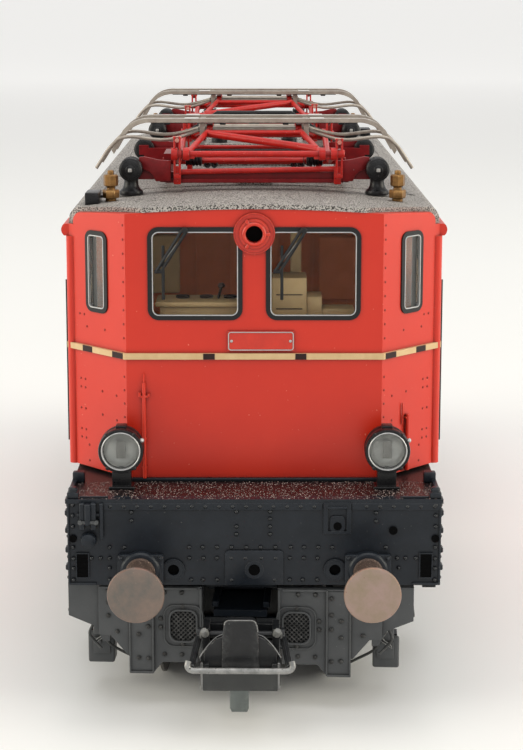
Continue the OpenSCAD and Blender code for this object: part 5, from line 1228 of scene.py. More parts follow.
def buffer_sets():
    plates = Piece("buffer_plates", "body", "frame_black", frame_black)
    barrels = Piece("buffer_barrels", "body", "buffer_steel", barrel_steel)
    heads = {-1: Piece("buffer_heads_left", "body", "buffer_steel", buffer_steel),
             1: Piece("buffer_heads_right", "body", "buffer_steel", pale_steel)}
    bolts = []
    for _, end in ENDS:
        for side in SIDES:
            place = on_end(end) @ Matrix.Translation((side * buffer_x, -apron_y, buffer_z))
            plates.plate(rounded(4.1, 2.9, 0.25, 3, 0, 0.05), -0.5, 0, 0.06, 2, place)
            plates.turned([(0, 0), (1.75, 0), (1.75, 0.62), (1.6, 0.78), (1.3, 0.84), (0, 0.84)], HERE,
                          FORWARD, 40, place)
            barrels.turned([(0, 0.4), (1.32, 0.4), (1.32, 1.0), (1.22, 1.12), (1.2, 1.3), (1.2, 3.5),
                            (1.28, 3.56),
                            (1.28, 3.86), (1.2, 3.94), (0.86, 3.94), (0.86, 6.55), (0, 6.55)], HERE, FORWARD,
                           48, place)
            heads[side].turned([(0, 6.3), (0.9, 6.3), (1.3, 6.55), (2.3, 6.66), (2.42, 6.7), (2.45, 6.78),
                                (2.45, 7.0),
                                (2.41, 7.07), (2.3, 7.11), (1.8, 7.18), (1.2, 7.25), (0.6, 7.29), (0, 7.3)],
                               HERE, FORWARD, 64, place)
            bolts += placed(place, [(x, z) for x in (-1.75, 1.75) for z in (-1.1, 1.2)], -0.5)
    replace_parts(heads[-1].done(), "buffers")
    heads[1].done()
    plates.done()
    barrels.done()
    grow("buffer_plate_bolts", points_mesh(bolts), hexagon_bolts, "body", "frame_black", frame_black,
         Radius=0.2, Height=0.14)


# ------------------------------------------------------------ bogies
GUARD_BOLTS = [(5.2, 10.75), (6.75, 10.75), (8.2, 10.5), (8.2, 8.95), (9.05, 8.4), (8.2, 7.6), (9.05, 6.85),
               (7.1, 8.3), (7.1, 7.5), (8.2, 4.6), (9.05, 4.65), (5.2, 4.95), (6.75, 4.95), (11.0, 7.0),
               (11.8, 9.7), (11.8, 8.5), (11.8, 10.8), (10.6, 10.8), (5.1, 9.5), (5.1, 5.95)]


# Diagonal strands of a mesh inside a rectangle
def strands(x0, x1, z0, z1, pitch):
    lines = []
    width, height = x1 - x0, z1 - z0
    count = int((width + height) / pitch)
    for i in range(1, count + 1):
        c = i * pitch
        a, b = (min(c, width), c - min(c, width)), (c - min(c, height), min(c, height))
        if a[1] > height or b[0] > width:
            continue
        lines.append([(x0 + a[0], z0 + a[1]), (x0 + b[0], z0 + b[1])])
        lines.append([(x1 - a[0], z0 + a[1]), (x1 - b[0], z0 + b[1])])
    return lines


def guard_fittings(name, end):
    body, place = "bogie_" + name, on_bogie(end)
    trim = Piece("guard_mouldings_" + name, body, "guard_grey", guard_grey, place)
    dark = Piece("guard_recesses_" + name, body, "seal_black", frame_black, place)
    mesh_x, mesh_z, mesh_w, mesh_h = 5.075, guard_top_z - 3.65, 2.5, 3.0
    wires, spots = [], []
    for side in SIDES:
        mirror = flipped(side)
        trim.frame(rounded(mesh_w + 1.05, mesh_h + 0.95, 0.95, 5, mesh_x - 0.02, mesh_z),
                   rounded(mesh_w + 0.85, mesh_h + 0.75, 0.86, 5, mesh_x - 0.02, mesh_z), guard_y - 0.07,
                   guard_y, mirror)
        trim.frame(rounded(mesh_w + 0.1, mesh_h + 0.1, 0.8, 5, mesh_x, mesh_z),
                   rounded(mesh_w - 0.2, mesh_h - 0.2, 0.7, 5, mesh_x, mesh_z), guard_y - 0.1,
                   guard_y + 0.3, mirror)
        dark.plate(rounded(mesh_w - 0.1, mesh_h - 0.1, 0.75, 5, mesh_x, mesh_z), guard_y + 0.28,
                   guard_y + 0.5, 0, 1, mirror)
        for line in strands(mesh_x - mesh_w / 2 + 0.1, mesh_x + mesh_w / 2 - 0.1, mesh_z - mesh_h / 2 + 0.1,
                            mesh_z + mesh_h / 2 - 0.1, 0.42):
            wires.append([mirror @ Vector((x, guard_y + 0.12, z)) for x, z in line])
        # doubling plate's inner edge and the fold along the foot
        for a, b in ((7.7, 7.86), (9.78, 9.92)):
            trim.box((a, guard_y - 0.28, 3.3), (b, guard_y - 0.16, guard_top_z - 0.05), 0.02, 1, mirror)
        trim.box((7.8, guard_y - 0.26, 3.2), (9.9, guard_y - 0.15, 3.42), 0.03, 1, mirror)
        trim.box((3.8, guard_y - 0.1, guard_top_z - 0.25), (12.6, guard_y + 0.02, guard_top_z - 0.05), 0.03,
                 1, mirror)
        trim.box((3.4, guard_y - 0.04, guard_top_z - 6.9), (3.62, guard_y + 0.4, guard_top_z - 0.15), 0.04,
                 1, mirror)
        spots += placed(place @ mirror, GUARD_BOLTS, guard_y)
        # brake shoe's block below the sand box, with its pin and split link
        trim.box((11.95, -19.75, 2.15), (14.4, -19.15, 5.15), 0.35, 3, mirror)
        trim.box((12.3, -19.95, 3.1), (13.9, -19.7, 4.7), 0.2, 2, mirror)
        trim.rod((13.4, -20.15, 4.3), (13.4, -19.6, 4.3), 0.3, 14, place=mirror)
        trim.box((12.6, -20.0, 4.9), (13.9, -19.2, 7.6), 0.2, 2, mirror)
        # lid and side rib of the sand box behind the guard
        trim.box((15.3, guard_y + 1.2, 8.4), (15.62, guard_y + 5.0, 8.7), 0.06, 1, mirror)
        trim.box((11.9, guard_y + 0.8, guard_top_z - 0.2), (15.4, guard_y + 5.1, guard_top_z - 0.02), 0.06,
                 1, mirror)
    # the bogie's nose, seen between the two guards above and below the coupler's shank
    dark.box((-3.35, nose_y, coupler_z + 1.6), (3.35, nose_y + 0.5, guard_top_z + 2.6), 0.1)
    dark.box((-6.3, nose_y, 3.3), (6.3, nose_y + 0.5, coupler_z - 1.0), 0.1)
    for x in (-2.3, 2.3):
        dark.box((x - 0.3, -23.4, coupler_z + 1.55), (x + 0.3, nose_y + 0.4, coupler_z + 2.1), 0.08)
    dark.box((-3.3, -22.2, guard_top_z - 0.8), (3.3, -21.9, guard_top_z + 0.2), 0.06)
    trim.done()
    dark.done()
    grow("guard_mesh_" + name, paths_mesh(wires, place), round_wires, body, "guard_grey", guard_bolt,
         Radius=0.06, Sides=6)
    raised = [(p, d) if not 7.8 < abs((place.inverted() @ p).x) < 9.9 else (p + d * 0.2, d) for p, d in spots]
    grow("guard_bolts_" + name, points_mesh(raised), rivet_heads, body, "guard_grey", guard_bolt,
         Radius=0.2, Height=0.15, Sides=12)


# Side frames: covers, springs' clips, brake rigging and sand pipes
def bogie_fittings(name, end):
    body, place = "bogie_" + name, on_bogie(end)
    trim = Piece("axle_box_covers_" + name, body, "frame_black", frame_black, place)
    rods = Piece("brake_rigging_" + name, body, "frame_black", fitting_black, place)
    shoes = Piece("brake_shoes_" + name, body, "block_metal", block_metal, place)
    bolts, rivets, coils = [], [], []
    for side in SIDES:
        mirror = flipped(side)
        wall = place @ mirror @ Matrix.Translation((side_face_x, 0, 0)) @ turn_about_z(90)
        rivets += placed(wall, [(guard_y + 1.6 + 1.15 * k, guard_top_z - 0.45) for k in range(36)])
        for s in (-1, 1):
            y = s * axle_reach
            hub = mirror @ Matrix.Translation((0, y, axle_z))
            trim.turned([(0, 0), (1.5, 0), (1.5, 0.25), (1.2, 0.4), (1.15, 0.62), (0.7, 0.72), (0.4, 0.78),
                         (0, 0.8)],
                        (12.7, 0, 0), (1, 0, 0), 36, hub)
            for clip in (-2.5, 2.0):
                trim.box((side_face_x, clip, 1.75), (12.5, clip + 0.5, 2.6), 0.08, 1, hub)
            trim.box((11.7, -0.75, -4.45), (13.05, 0.75, -1.9), 0.1, 2, hub)
            for h in (-4.2, 4.2):
                rods.rod((12.25, h, -2.6), (12.25, h, 1.2), 0.2, 12, place=hub)
                coils.append((place @ hub @ Vector((12.25, h, -0.9)),
                              (place @ hub).to_3x3() @ Vector((0, 0, 1))))
            cover = wall @ Matrix.Translation((y, -0.9, axle_z))
            bolts += placed(cover, [(a, b) for a in (-1.65, 1.65) for b in (-1.55, 1.75)])
            # shoe on the side towards the other wheel, with its hanger
            tread = place @ hub @ Matrix.Translation((8.6, 0, 0)) @ turn_about_z(90)
            middle = 0 if s < 0 else 180
            shoe = arc(0, 0, 7.66, middle - 24, middle + 24, 8) + arc(0, 0, 8.5, middle + 22, middle - 22, 8)
            shoes.plate(shoe, -1.2, 0.15, 0.06, 1, place.inverted() @ tread)
            rods.box((8.9, -s * 8.1 - 0.25, -0.6), (9.5, -s * 8.1 + 0.25, 5.2), 0.08, 1, hub)
            rods.rod((7.4, -s * 8.2, -2.2), (10.8, -s * 8.2, -2.2), 0.28, 12, place=hub)
        rods.rod((12.6, -6.0, axle_z - 4.0), (12.6, 6.0, axle_z - 4.0), 0.26, 12, place=mirror)
        for y in (-6.0, 0, 6.0):
            rods.box((11.7, y - 0.35, axle_z - 4.4), (12.9, y + 0.35, axle_z - 1.2), 0.1, 1, mirror)
        trim.turned([(0, 0), (1.6, 0), (1.6, 0.2), (1.2, 0.35), (0.5, 0.4), (0.45, 0.6), (0, 0.62)],
                    (13.2, 0, axle_z + 1.3), (1, 0, 0), 32, mirror)
    for piece in (trim, rods, shoes):
        piece.done()
    pipes, links = [], []
    for side in SIDES:
        mirror = flipped(side)
        for path in ([(12.6, guard_y + 3.0, 6.0), (12.2, guard_y + 3.9, 4.4), (10.4, guard_y + 5.0, 2.9),
                      (8.9, nose_y, 1.7)],
                     [(13.3, guard_y + 1.0, 7.4), (13.6, guard_y + 0.6, 6.6), (13.2, guard_y + 0.9, 5.8),
                      (12.5, guard_y + 0.5, 5.2)]):
            pipes.append([mirror @ p for p in curved(path)])
        for lean in (0, 0.35):
            links.append([mirror @ p for p in curved([
                (12.3 + lean, -20.1, 6.6), (12.9 + lean, -20.35, 5.9), (12.5 + lean, -20.3, 5.2),
                (13.2 + lean, -20.3, 4.6), (13.7, -20.2, 4.2)])])
    grow("sand_pipes_" + name, paths_mesh(pipes, place), round_wires, body, "frame_black", coupler_grey,
         Radius=0.13, Sides=10)
    grow("brake_links_" + name, paths_mesh(links, place), round_wires, body, "guard_grey", wire_grey,
         Radius=0.045, Sides=6)
    grow("axle_box_bolts_" + name, points_mesh(bolts), hexagon_bolts, body, "frame_black", frame_black,
         Radius=0.26, Height=0.22)
    grow("side_frame_rivets_" + name, points_mesh(rivets), rivet_heads, body, "frame_black", frame_black,
         Radius=0.15, Height=0.1, Sides=8)
    grow("hanger_springs_" + name, points_mesh(coils), coil_springs, body, "frame_black", fitting_black,
         Coil_Radius=0.42, Length=1.9, Turns=5.0, Wire_Radius=0.11)


def wheel_fittings():
    for (name, s), number in WHEEL_AT.items():
        end = dict(ENDS)[name]
        place = on_bogie(end) @ Matrix.Translation((0, s * axle_reach, axle_z))
        caps = Piece("wheel_caps_%d" % number, "wheels_%d" % number, "wheel_steel", wheel_steel, place)
        for side in SIDES:
            caps.turned([(0, 9.9), (1.75, 9.9), (1.75, 10.1), (1.3, 10.22), (1.05, 10.24), (0.95, 10.36),
                         (0.35, 10.4), (0.3, 10.32), (0, 10.3)], HERE, (side, 0, 0), 32)
            for k in range(5):
                turn = Matrix.Rotation(math.radians(72 * k), 4, "X")
                caps.turned([(0, 10.0), (0.22, 10.0), (0.22, 10.3), (0.12, 10.36), (0, 10.37)], HERE,
                            (side, 0, 0), 6, turn @ Matrix.Translation((0, 0, 1.45)))
        caps.done()


# ------------------------------------------------------------ couplers
def coupler_fittings(name, end):
    place = on_coupler(end)
    bar_y = -(apron_y - pivot_y) - buffer_reach - 0.5
    pin_y, pin_z = bar_y + 5, coupler_z + 0.7
    low_z, lip_y, hook_z = coupler_z - 2.9, bar_y + 1.1, pin_z + 2.55
    bar_z, bar_half, arm_in = coupler_z - 0.8, 4.6, 3.5
    head = "coupler_" + name
    loop = "loop_" + name
    cover = Piece("hook_cover_" + name, head, "coupler_black", coupler_black, place)
    edge = Piece("hook_worn_edges_" + name, head, "coupler_black", wire_grey, place)
    lower = Piece("coupler_front_plate_" + name, head, "coupler_black", coupler_grey, place)
    shape = [(-1.62, low_z + 0.6), (1.62, low_z + 0.6), (1.5, hook_z - 1.0), (1.42, hook_z - 0.45)]
    shape += arc(0.95, hook_z - 0.4, 0.42, 0, 90, 5) + arc(-0.95, hook_z - 0.4, 0.42, 90, 180, 5)
    shape += [(-1.5, hook_z - 1.0)]
    cover.plate(shape, lip_y + 0.28, lip_y + 1.12, 0.08, 2)
    cover.box((-3.1, pin_y - 0.3, pin_z - 1.6), (3.1, pin_y + 1.2, pin_z - 0.5), 0.1, 1)
    cover.plate([(-3.15, low_z + 1.6), (3.15, low_z + 1.6), (3.15, hook_z - 2.9), (2.1, hook_z - 1.8),
                 (1.4, hook_z - 1.5), (-1.4, hook_z - 1.5), (-2.1, hook_z - 1.8), (-3.15, hook_z - 2.9)],
                lip_y + 0.62, lip_y + 1.06, 0.03)
    for s in (-1, 1):
        cover.box((s * 3.32 - 0.12, lip_y + 0.1, low_z + 0.3), (s * 3.32 + 0.12, lip_y + 2.2, low_z + 2.4),
                  0.05)
    lower.plate([(-3.2, low_z - 0.05), (3.2, low_z - 0.05), (3.3, low_z + 0.5), (3.3, low_z + 1.75),
                 (-3.3, low_z + 1.75), (-3.3, low_z + 0.5)], lip_y - 0.12, lip_y + 0.1, 0.06, 2)
    cover.done()
    lower.done()
    for s in (-1, 1):
        edge.box((s * 3.3 - 0.09, lip_y - 0.16, low_z + 0.1), (s * 3.3 + 0.09, lip_y + 0.02, low_z + 2.5),
                 0.03)
    edge.done()
    paths = [[Vector((x, lip_y + 0.26, z)) for x, z in shape[2:-1]]]
    for s in (-1, 1):
        paths.append(curved([(s * 1.5, lip_y + 1.0, hook_z - 1.5), (s * 2.1, lip_y + 0.9, hook_z - 1.75),
                             (s * 2.9, lip_y + 0.6, hook_z - 2.5), (s * 3.5, lip_y + 0.2, hook_z - 3.3)]))
    grow("hook_wires_" + name, paths_mesh(paths, place), round_wires, head, "coupler_black", wire_grey,
         Radius=0.055, Sides=8)
    # loop: bar with upturned ends, arms back to the pin, knobs on the pin, and the release tongue
    bar = [(-bar_half + 0.2, bar_y + 0.5, bar_z + 0.75), (-bar_half + 0.12, bar_y + 0.35, bar_z + 0.3),
           (-bar_half + 0.45, bar_y + 0.28, bar_z), (-bar_half + 1.4, bar_y + 0.25, bar_z - 0.04),
           (0, bar_y + 0.25, bar_z - 0.04), (bar_half - 1.4, bar_y + 0.25, bar_z - 0.04),
           (bar_half - 0.45, bar_y + 0.28, bar_z), (bar_half - 0.12, bar_y + 0.35, bar_z + 0.3),
           (bar_half - 0.2, bar_y + 0.5, bar_z + 0.75)]
    bent = grow("loop_bar_" + name, paths_mesh([curved(bar)], place), round_wires, loop, "coupler_black",
                worn_bar, Radius=0.27, Sides=14)
    arms = Piece("loop_arms_" + name, loop, "coupler_black", coupler_black, place)
    knobs = Piece("loop_knobs_" + name, loop, "coupler_black", knob_grey, place)
    tongue = Piece("release_tongue_" + name, loop, "coupler_black", tongue_metal, place)
    for s in (-1, 1):
        arms.rod((s * (arm_in + 0.15), pin_y, pin_z - 0.05),
                 (s * (bar_half - 0.4), bar_y + 0.4, bar_z + 0.2), 0.3, 10)
        arms.turned([(0, 0), (0.62, 0), (0.62, 0.3), (0, 0.3)], (s * arm_in, pin_y, pin_z), (s, 0, 0), 24)
        knobs.turned([(0, 0), (0.2, 0), (0.34, 0.14), (0.36, 0.5), (0.26, 0.74), (0, 0.82)],
                     (s * 3.05, pin_y - 0.85, pin_z + 0.2), (s * 0.25, -0.5, 0.8), 20)
        knobs.box((s * 3.5 - 0.1, pin_y - 0.9, pin_z - 0.1), (s * 3.5 + 0.1, pin_y + 0.1, pin_z + 0.42),
                  0.05, 2)
    arms.rod((-arm_in, pin_y, pin_z), (arm_in, pin_y, pin_z), 0.35, 20)
    tongue.box((-1, pin_y - 1.48, pin_z - 0.2), (1, pin_y - 0.3, pin_z + 0.2), 0.06, 1)
    shape = [(-1, pin_z + 0.2), (1, pin_z + 0.2), (0.96, coupler_z - 5.55), (0.8, coupler_z - 5.9),
             (-0.8, coupler_z - 5.9), (-0.96, coupler_z - 5.55)]
    tongue.plate([(x * 0.86 - 0.13, z) for x, z in shape], pin_y - 1.5, pin_y - 1.15, 0.06, 2)
    arms.done()
    knobs.done()
    tongue.done()
    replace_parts(bent, "coupler_loop_" + name)


# ------------------------------------------------------------ roof
# Outlines of a whistle from its foot up, each with its number of sides: the nuts have six and eight
WHISTLE_PARTS = (
    ([(0, -0.4), (0.5, -0.4), (0.5, 0.2), (0.42, 0.3), (0, 0.3)], 20),
    ([(0, 0.3), (0.74, 0.3), (0.78, 0.38), (0.78, 0.98), (0.7, 1.08), (0, 1.08)], 6),
    ([(0, 1.05), (0.44, 1.05), (0.38, 1.2), (0.44, 1.42), (0, 1.42)], 20),
    ([(0, 1.4), (0.6, 1.4), (0.68, 1.48), (0.68, 2.36), (0.58, 2.48), (0, 2.48)], 8),
    ([(0, 2.45), (0.3, 2.45), (0.3, 2.8), (0.2, 2.88), (0, 2.9)], 16))


def roof_fittings():
    brasses = Piece("whistle_bodies", "body", "brass", brass)
    bells = Piece("insulator_bells", "body", "fitting_black", fitting_black)
    studs = Piece("insulator_bolts", "body", "plate_metal", plate_metal)
    boxes = Piece("roof_cable_boxes", "body", "fitting_black", fitting_black)
    ribs = Piece("roof_hatch_ribs", "body", "roof_grey", roof_grey)
    for _, end in ENDS:
        place = on_end(end)
        for side in SIDES:
            spot = place @ Matrix.Translation((side * whistle_x, whistle_y, arch_z(whistle_x)))
            for outline, sides in WHISTLE_PARTS:
                brasses.turned(outline, HERE, UP, sides, spot)
        boxes.box((-15.6, -cab_y + 5.9, 43.9), (-14.3, -cab_y + 8.9, 45.3), 0.1, 2, place)
        boxes.rod((-14.4, -cab_y + 8.4, 44.7), (-13.3, -cab_y + 8.4, 44.7), 0.14, 8, place=place)
        base = on_panto(end)
        for s in (-1, 1):
            for side in SIDES:
                foot = base @ Matrix.Translation((side * insulator_x, s * insulator_y, insulator_z))
                outline = [(0, -1.42), (0.5, -1.4), (0.9, -1.3)]
                for k in range(5):
                    at = -1.16 + 0.5 * k
                    outline += [(1.04, at), (1.09, at + 0.08), (1.09, at + 0.2), (1.02, at + 0.28),
                                (0.86, at + 0.33), (0.86, at + 0.42)]
                outline += [(0.92, 1.3), (0.5, 1.4), (0, 1.42)]
                bells.turned(outline, HERE, FORWARD, 40, foot)
                bells.turned([(0, -2.4), (1.12, -2.4), (1.15, -2.3), (1.1, -2.05), (0.86, -1.85), (0.7, -1.5),
                              (0.66, -1.1), (0.72, -0.8), (0, -0.8)], HERE, UP, 32, foot)
                for face in (-1, 1):
                    studs.box((-0.17, face * 1.4, -0.17), (0.17, face * 1.62, 0.17), 0.04, 1, foot)
                    bells.turned([(0, 1.38), (0.42, 1.38), (0.42, 1.48), (0.34, 1.52), (0, 1.52)], HERE,
                                 (0, face, 0), 24, foot)
    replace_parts(brasses.done(), "whistles")
    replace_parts(bells.done(), "pantograph_insulators")
    for y in (-6.5, -3.2, 3.2, 6.5):
        ribs.box((-5.6, y - 0.12, crown_z + 1.5), (5.6, y + 0.12, crown_z + 1.72), 0.05)
    for x in (-15.1, 15.1):
        ribs.box((x - 0.35, -side_y + 8, arch_z(15) - 0.35), (x + 0.35, side_y - 8, arch_z(15) + 0.1), 0.08)
    for y in (-30.5, -15.3, 0.0, 15.3, 30.5):
        ribs.plate([(x, arch_z(x) + 0.07) for x in range(-15, 16, 3)] + [(x, arch_z(x) - 0.1) for x in
                                                                        range(15, -16, -3)], y - 0.14,
                                                                        y + 0.14, 0.02)
    for piece in (studs, boxes, ribs):
        piece.done()


# ------------------------------------------------------------ pantographs
def pantograph_fittings(name, end):
    place = on_panto(end)
    base = Piece("pantograph_gussets_" + name, "body", "panto_red", base_red, place)
    beams = Piece("pantograph_beams_" + name, "body", "panto_red", panto_red, place)
    drums = Piece("pantograph_spring_drums_" + name, "body", "fitting_black", fitting_black, place)
    gusset = [(7.9, 47.75), (9.1, 47.85), (10.4, 48.15), (10.9, 48.1), (11.0, 47.2), (10.55, 46.95),
              (10.0, 46.75), (9.6, 46.35), (9.35, 45.8), (7.9, 45.85)]
    for s in (-1, 1):
        for side in SIDES:
            base.plate(gusset, s * (cross_y + 0.9) - 0.2, s * (cross_y + 0.9) + 0.2, 0.06, 2, flipped(side))
            base.box((8.0, s * cross_y - 0.7, base_rail_z - 0.05),
                     (9.0, s * cross_y + 0.7, base_rail_z + 0.35), 0.08, 1, flipped(side))
        base.box((-8.5, s * (cross_y + 0.55) - 0.2, base_rail_z - 0.1), (8.5, s * (cross_y + 0.55) + 0.2,
                                                                        base_rail_z + 0.3), 0.06)
        base.box((-8.0, s * 6.4 - 0.3, base_rail_z + 0.15), (8.0, s * 6.4 + 0.3, base_rail_z + 0.75), 0.06)
        beams.rod((-7.4, s * (cross_y + 0.85), base_rail_z + 0.95),
                  (8.2, s * (cross_y + 0.85), base_rail_z + 1.25), 0.26, 14)
        beams.rod((-6.2, s * 7.4, base_rail_z + 1.75), (5.8, s * 7.4, base_rail_z + 1.75), 0.24, 14)
        for x in (-7.3, 7.9):
            beams.box((x - 0.35, s * (cross_y + 0.9) - 0.4, base_rail_z - 0.2),
                      (x + 0.35, s * (cross_y + 0.9) + 0.35,
                                                                               base_rail_z + 1.5), 0.1, 2)
    ribs = [(0, -0.8)]
    for k in range(5):
        ribs += [(0.56, -0.78 + 0.32 * k), (0.66, -0.72 + 0.32 * k), (0.66, -0.58 + 0.32 * k),
                 (0.54, -0.52 + 0.32 * k)]
    ribs += [(0, 0.82)]
    drum_y, drum_z = -8.2, base_rail_z + 1.95
    for side in SIDES:
        drums.turned(ribs, (side * 5.8, drum_y, drum_z), (1, 0, 0), 28)
        drums.rod((side * 5.0, drum_y, drum_z), (side * 6.9, drum_y, drum_z), 0.2, 12)
        beams.box((side * 6.2 - 0.25, -8.6, base_rail_z + 0.9),
                  (side * 6.2 + 0.25, -7.3, base_rail_z + 1.5), 0.07)
    drums.rod((-7.0, 0, shaft_z + 0.9), (7.0, 0, shaft_z + 0.9), 0.13, 10)
    for piece in (base, beams, drums):
        piece.done()
    # long springs between the shafts, and the loops of the leads
    along = place.to_3x3() @ Vector((0, 1, 0))
    points = [(place @ Vector((x, -4.5, shaft_z - 0.15)), along) for x in (-4.6, -3.9, 3.9, 4.6)]
    grow("pantograph_springs_" + name, points_mesh(points), coil_springs, "body", "fitting_black",
         fitting_black, Coil_Radius=0.26, Length=9.0, Turns=30.0, Wire_Radius=0.07)
    loops = []
    for x, y, lift, r in ((5.5, -8.9, 0.8, 0.8), (6.2, -8.7, 0.7, 0.65), (5.9, -9.0, 0.6, 0.75)):
        loops.append([Vector((x + r * math.cos(a / 9), y, shaft_z + lift + 0.8 * r * math.sin(a / 9)))
                      for a in range(44)])
    grow("pantograph_leads_" + name, paths_mesh(loops, place), round_wires, "body", "fitting_black",
         fitting_black, Radius=0.035, Sides=6)
    # knee forks of the outer lower arm
    for arm, s in (("a", -1), ("b", 1)):
        body = "lower_arm_%s_%s" % (arm, name)
        fork = Piece("knee_forks_%s_%s" % (arm, name), body, "panto_red", panto_red, place)
        # the knee bolts and pins are pale pink, a painted highlight
        pale = Piece("knee_bolts_%s_%s" % (arm, name), body, "panto_red", painted_highlight_red, place)
        y = s * knee_y
        for x, top in ((-7.25, 50.15), (8.0, 49.95)):
            for gap in (-0.24, 0.24):
                fork.box((x + gap - 0.1, y - 0.28, knee_z - 1.9), (x + gap + 0.1, y + 0.28, top), 0.05, 2)
            fork.box((x - 0.34, y - 0.24, knee_z - 2.3), (x + 0.34, y + 0.24, knee_z - 1.8), 0.08, 2)
            fork.rod((x - 0.5, y, knee_z), (x + 0.5, y, knee_z), 0.42, 18)
            pale.turned([(0, 0), (0.2, 0), (0.2, 0.18), (0, 0.2)], (x, y + s * 0.25, top - 0.35), (0, s, 0),
                        10)
            pale.rod((x - 0.42, y, top - 0.1), (x + 0.42, y, top - 0.1), 0.12, 10)
        fork.box((-6.9, y - 0.2, knee_z - 0.45), (-5.6, y + 0.2, knee_z - 0.05), 0.08, 2)
        fork.box((5.6, y - 0.2, knee_z - 0.5), (7.6, y + 0.2, knee_z - 0.1), 0.08, 2)
        fork.done()
        pale.done()
    for arm, s in (("a", -1), ("b", 1)):
        sleeve = Piece("diagonal_sleeves_%s_%s" % (arm, name), "upper_arm_%s_%s" % (arm, name), "panto_red",
                       panto_red, place)
        # from the right knee up to the left pin
        knee, pin = Vector((-6.4, s * knee_y, knee_z)), Vector((-4.4, s * 1.8, head_z))
        along = (pin - knee).normalized()
        start = knee + along * 1.9
        sleeve.rod((6.4 - abs(along.x) * 1.9, start.y, start.z), pin - along * 1.7, 0.36, 18)
        sleeve.done()
    head = "pan_head_" + name
    pads = Piece("bow_pads_" + name, head, "bow_metal", link_metal, place)
    strips = Piece("bow_strips_" + name, head, "bow_metal", fitting_black, place)
    horns = []
    for s in (-1, 1):
        for side in SIDES:
            pads.box((5.5, s * bow_y - 0.6, bow_top - 0.08), (6.9, s * bow_y + 0.6, bow_top + 0.06), 0.03, 1,
                     flipped(side))
            horns.append([flipped(side) @ p for p in curved([
                (5.0, s * 1.9, head_z + 0.05), (8.6, s * 3.3, head_z - 0.9), (12.4, s * 3.5, head_z - 0.6),
                (14.0, s * 3.5, head_z - 1.4), (15.6, s * 3.5, head_z - 3.7)])])
        strips.box((-10.2, s * bow_y - 0.5, bow_top - 0.47), (10.2, s * bow_y + 0.5, bow_top - 0.38), 0.02)
        for x in (-8.6, -3.1, 3.1, 8.6):
            strips.box((x - 0.3, s * bow_y - 0.52, bow_top - 0.62),
                       (x + 0.3, s * bow_y + 0.52, bow_top - 0.4), 0.05)
    pads.done()
    strips.done()
    grow("bow_horns_" + name, paths_mesh(horns, place), round_wires, head, "bow_metal", bow_metal,
         Radius=0.17, Sides=12)


body_rivets()
window_lines()
wiper_sets()
body_fittings()
side_fittings()
cab_fittings()
buffer_sets()
roof_fittings()
wheel_fittings()
platform_lamps()
for end_name, end_turn in ENDS:
    platform_fittings(end_name, end_turn)
    apron_fittings(end_name, end_turn)
    guard_fittings(end_name, end_turn)
    bogie_fittings(end_name, end_turn)
    coupler_fittings(end_name, end_turn)
    pantograph_fittings(end_name, end_turn)


# ------------------------------------------------------------ floor, light and camera
WORLD_LIGHT, WORLD_SEEN, FAR_GLOW = 0.44, 0.92, 0.42
GLOW_REACH = (130.0, 1100.0)                  # where the floor's glow begins and is full
TOP_POWER, SIDE_POWER, FRONT_POWER = 1.75, 1.9, 0.4
DAYLIGHT, WARM_LIGHT = (1, 1, 1), (1, 0.95, 0.8)
CAMERA_PLACE = (0.0, -206.57, 63.82)
CAMERA_PITCH = 0.181
CAMERA_LENS = 87.0
CAMERA_SHIFT = (0.0097, -0.0733)


# Rays that show a thing to the eye, straight, in a mirror or through glass
def seen_rays(tree):
    rays = add(tree, "ShaderNodeLightPath").outputs
    return maths(tree, "ADD", rays["Is Camera Ray"],
                 maths(tree, "ADD", rays["Is Glossy Ray"], rays["Is Transmission Ray"]), clamp=True)


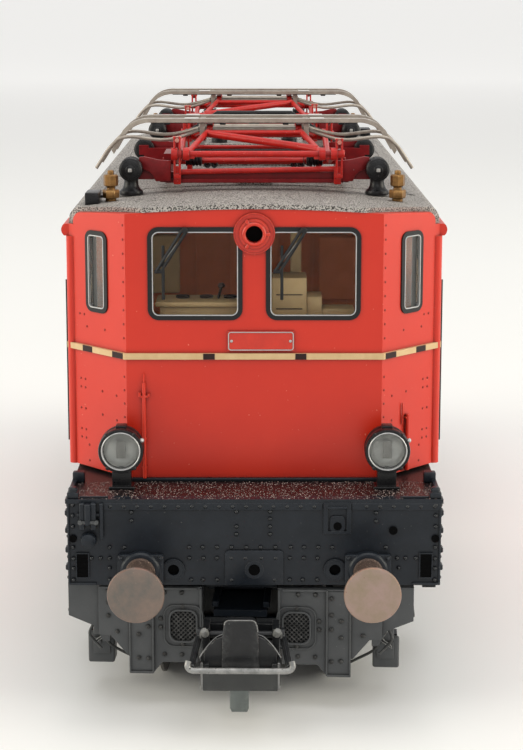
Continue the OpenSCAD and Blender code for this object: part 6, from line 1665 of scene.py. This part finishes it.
def build_floor():
    reach = 4.0
    mesh = bpy.data.meshes.new("floor")
    mesh.from_pydata([(-reach, -reach, 0), (reach, -reach, 0), (reach, reach * 3, 0),
                      (-reach, reach * 3, 0)], [],
                     [(0, 1, 2, 3)])
    material = bpy.data.materials.new("pale floor")
    material.use_nodes = True
    tree = material.node_tree
    shader = tree.nodes["Principled BSDF"]
    cloud = noise(tree, place_in_mm(tree), 0.004, 3.0)
    link(tree, blend(tree, cloud, (0.905, 0.905, 0.905), (0.925, 0.925, 0.92)), shader.inputs["Base Color"])
    shader.inputs["Roughness"].default_value = 0.7
    shader.inputs["Specular IOR Level"].default_value = 0.2
    # the paper sweep glows towards its far end, where the softboxes no longer reach
    away = add(tree, "ShaderNodeVectorMath", {0: place_in_mm(tree)}, operation="LENGTH").outputs["Value"]
    glow = spread(tree, away, *GLOW_REACH, 0.0, FAR_GLOW)
    shader.inputs["Emission Color"].default_value = (1.0, 0.985, 0.96, 1)
    link(tree, maths(tree, "MULTIPLY", seen_rays(tree), glow), shader.inputs["Emission Strength"])
    mesh.materials.append(material)
    floor = bpy.data.objects.new("floor", mesh)
    bpy.context.scene.collection.objects.link(floor)


def add_softbox(name, place, target, size, power, colour=DAYLIGHT):
    lamp = bpy.data.lights.new(name, "AREA")
    lamp.shape, lamp.size, lamp.size_y = "RECTANGLE", size[0], size[1]
    lamp.energy, lamp.color = power, colour
    thing = bpy.data.objects.new(name, lamp)
    thing.location = place
    thing.rotation_euler = (Vector(target) - Vector(place)).to_track_quat("-Z", "Y").to_euler()
    bpy.context.scene.collection.objects.link(thing)


def light_studio():
    world = bpy.data.worlds.new("studio")
    bpy.context.scene.world = world
    world.use_nodes = True
    tree = world.node_tree
    background = tree.nodes["Background"]
    background.inputs["Color"].default_value = (0.96, 0.955, 0.94, 1)
    link(tree, spread(tree, seen_rays(tree), 0.0, 1.0, WORLD_LIGHT, WORLD_SEEN),
         background.inputs["Strength"])
    middle = (0, -0.02, 0.03)
    add_softbox("top_softbox", (0.03, -0.02, 0.62), middle, (0.6, 0.6), TOP_POWER)
    add_softbox("left_softbox", (-0.52, -0.1, 0.2), middle, (0.4, 0.36), SIDE_POWER, WARM_LIGHT)
    add_softbox("right_softbox", (0.52, -0.1, 0.2), middle, (0.4, 0.36), SIDE_POWER, WARM_LIGHT)
    add_softbox("front_softbox", (0.05, -0.6, 0.34), middle, (0.4, 0.3), FRONT_POWER)


def set_camera():
    data = bpy.data.cameras.new("camera")
    data.lens, data.sensor_width, data.sensor_fit = CAMERA_LENS, 36.0, "AUTO"
    data.shift_x, data.shift_y = CAMERA_SHIFT
    data.clip_start, data.clip_end = 0.005, 50.0
    camera = bpy.data.objects.new("camera", data)
    camera.location = Vector(CAMERA_PLACE) * MM
    camera.rotation_euler = (math.pi / 2 - CAMERA_PITCH, 0, 0)
    bpy.context.scene.collection.objects.link(camera)
    bpy.context.scene.camera = camera


build_floor()
light_studio()
set_camera()
bpy.context.scene.view_settings.view_transform = "Standard"
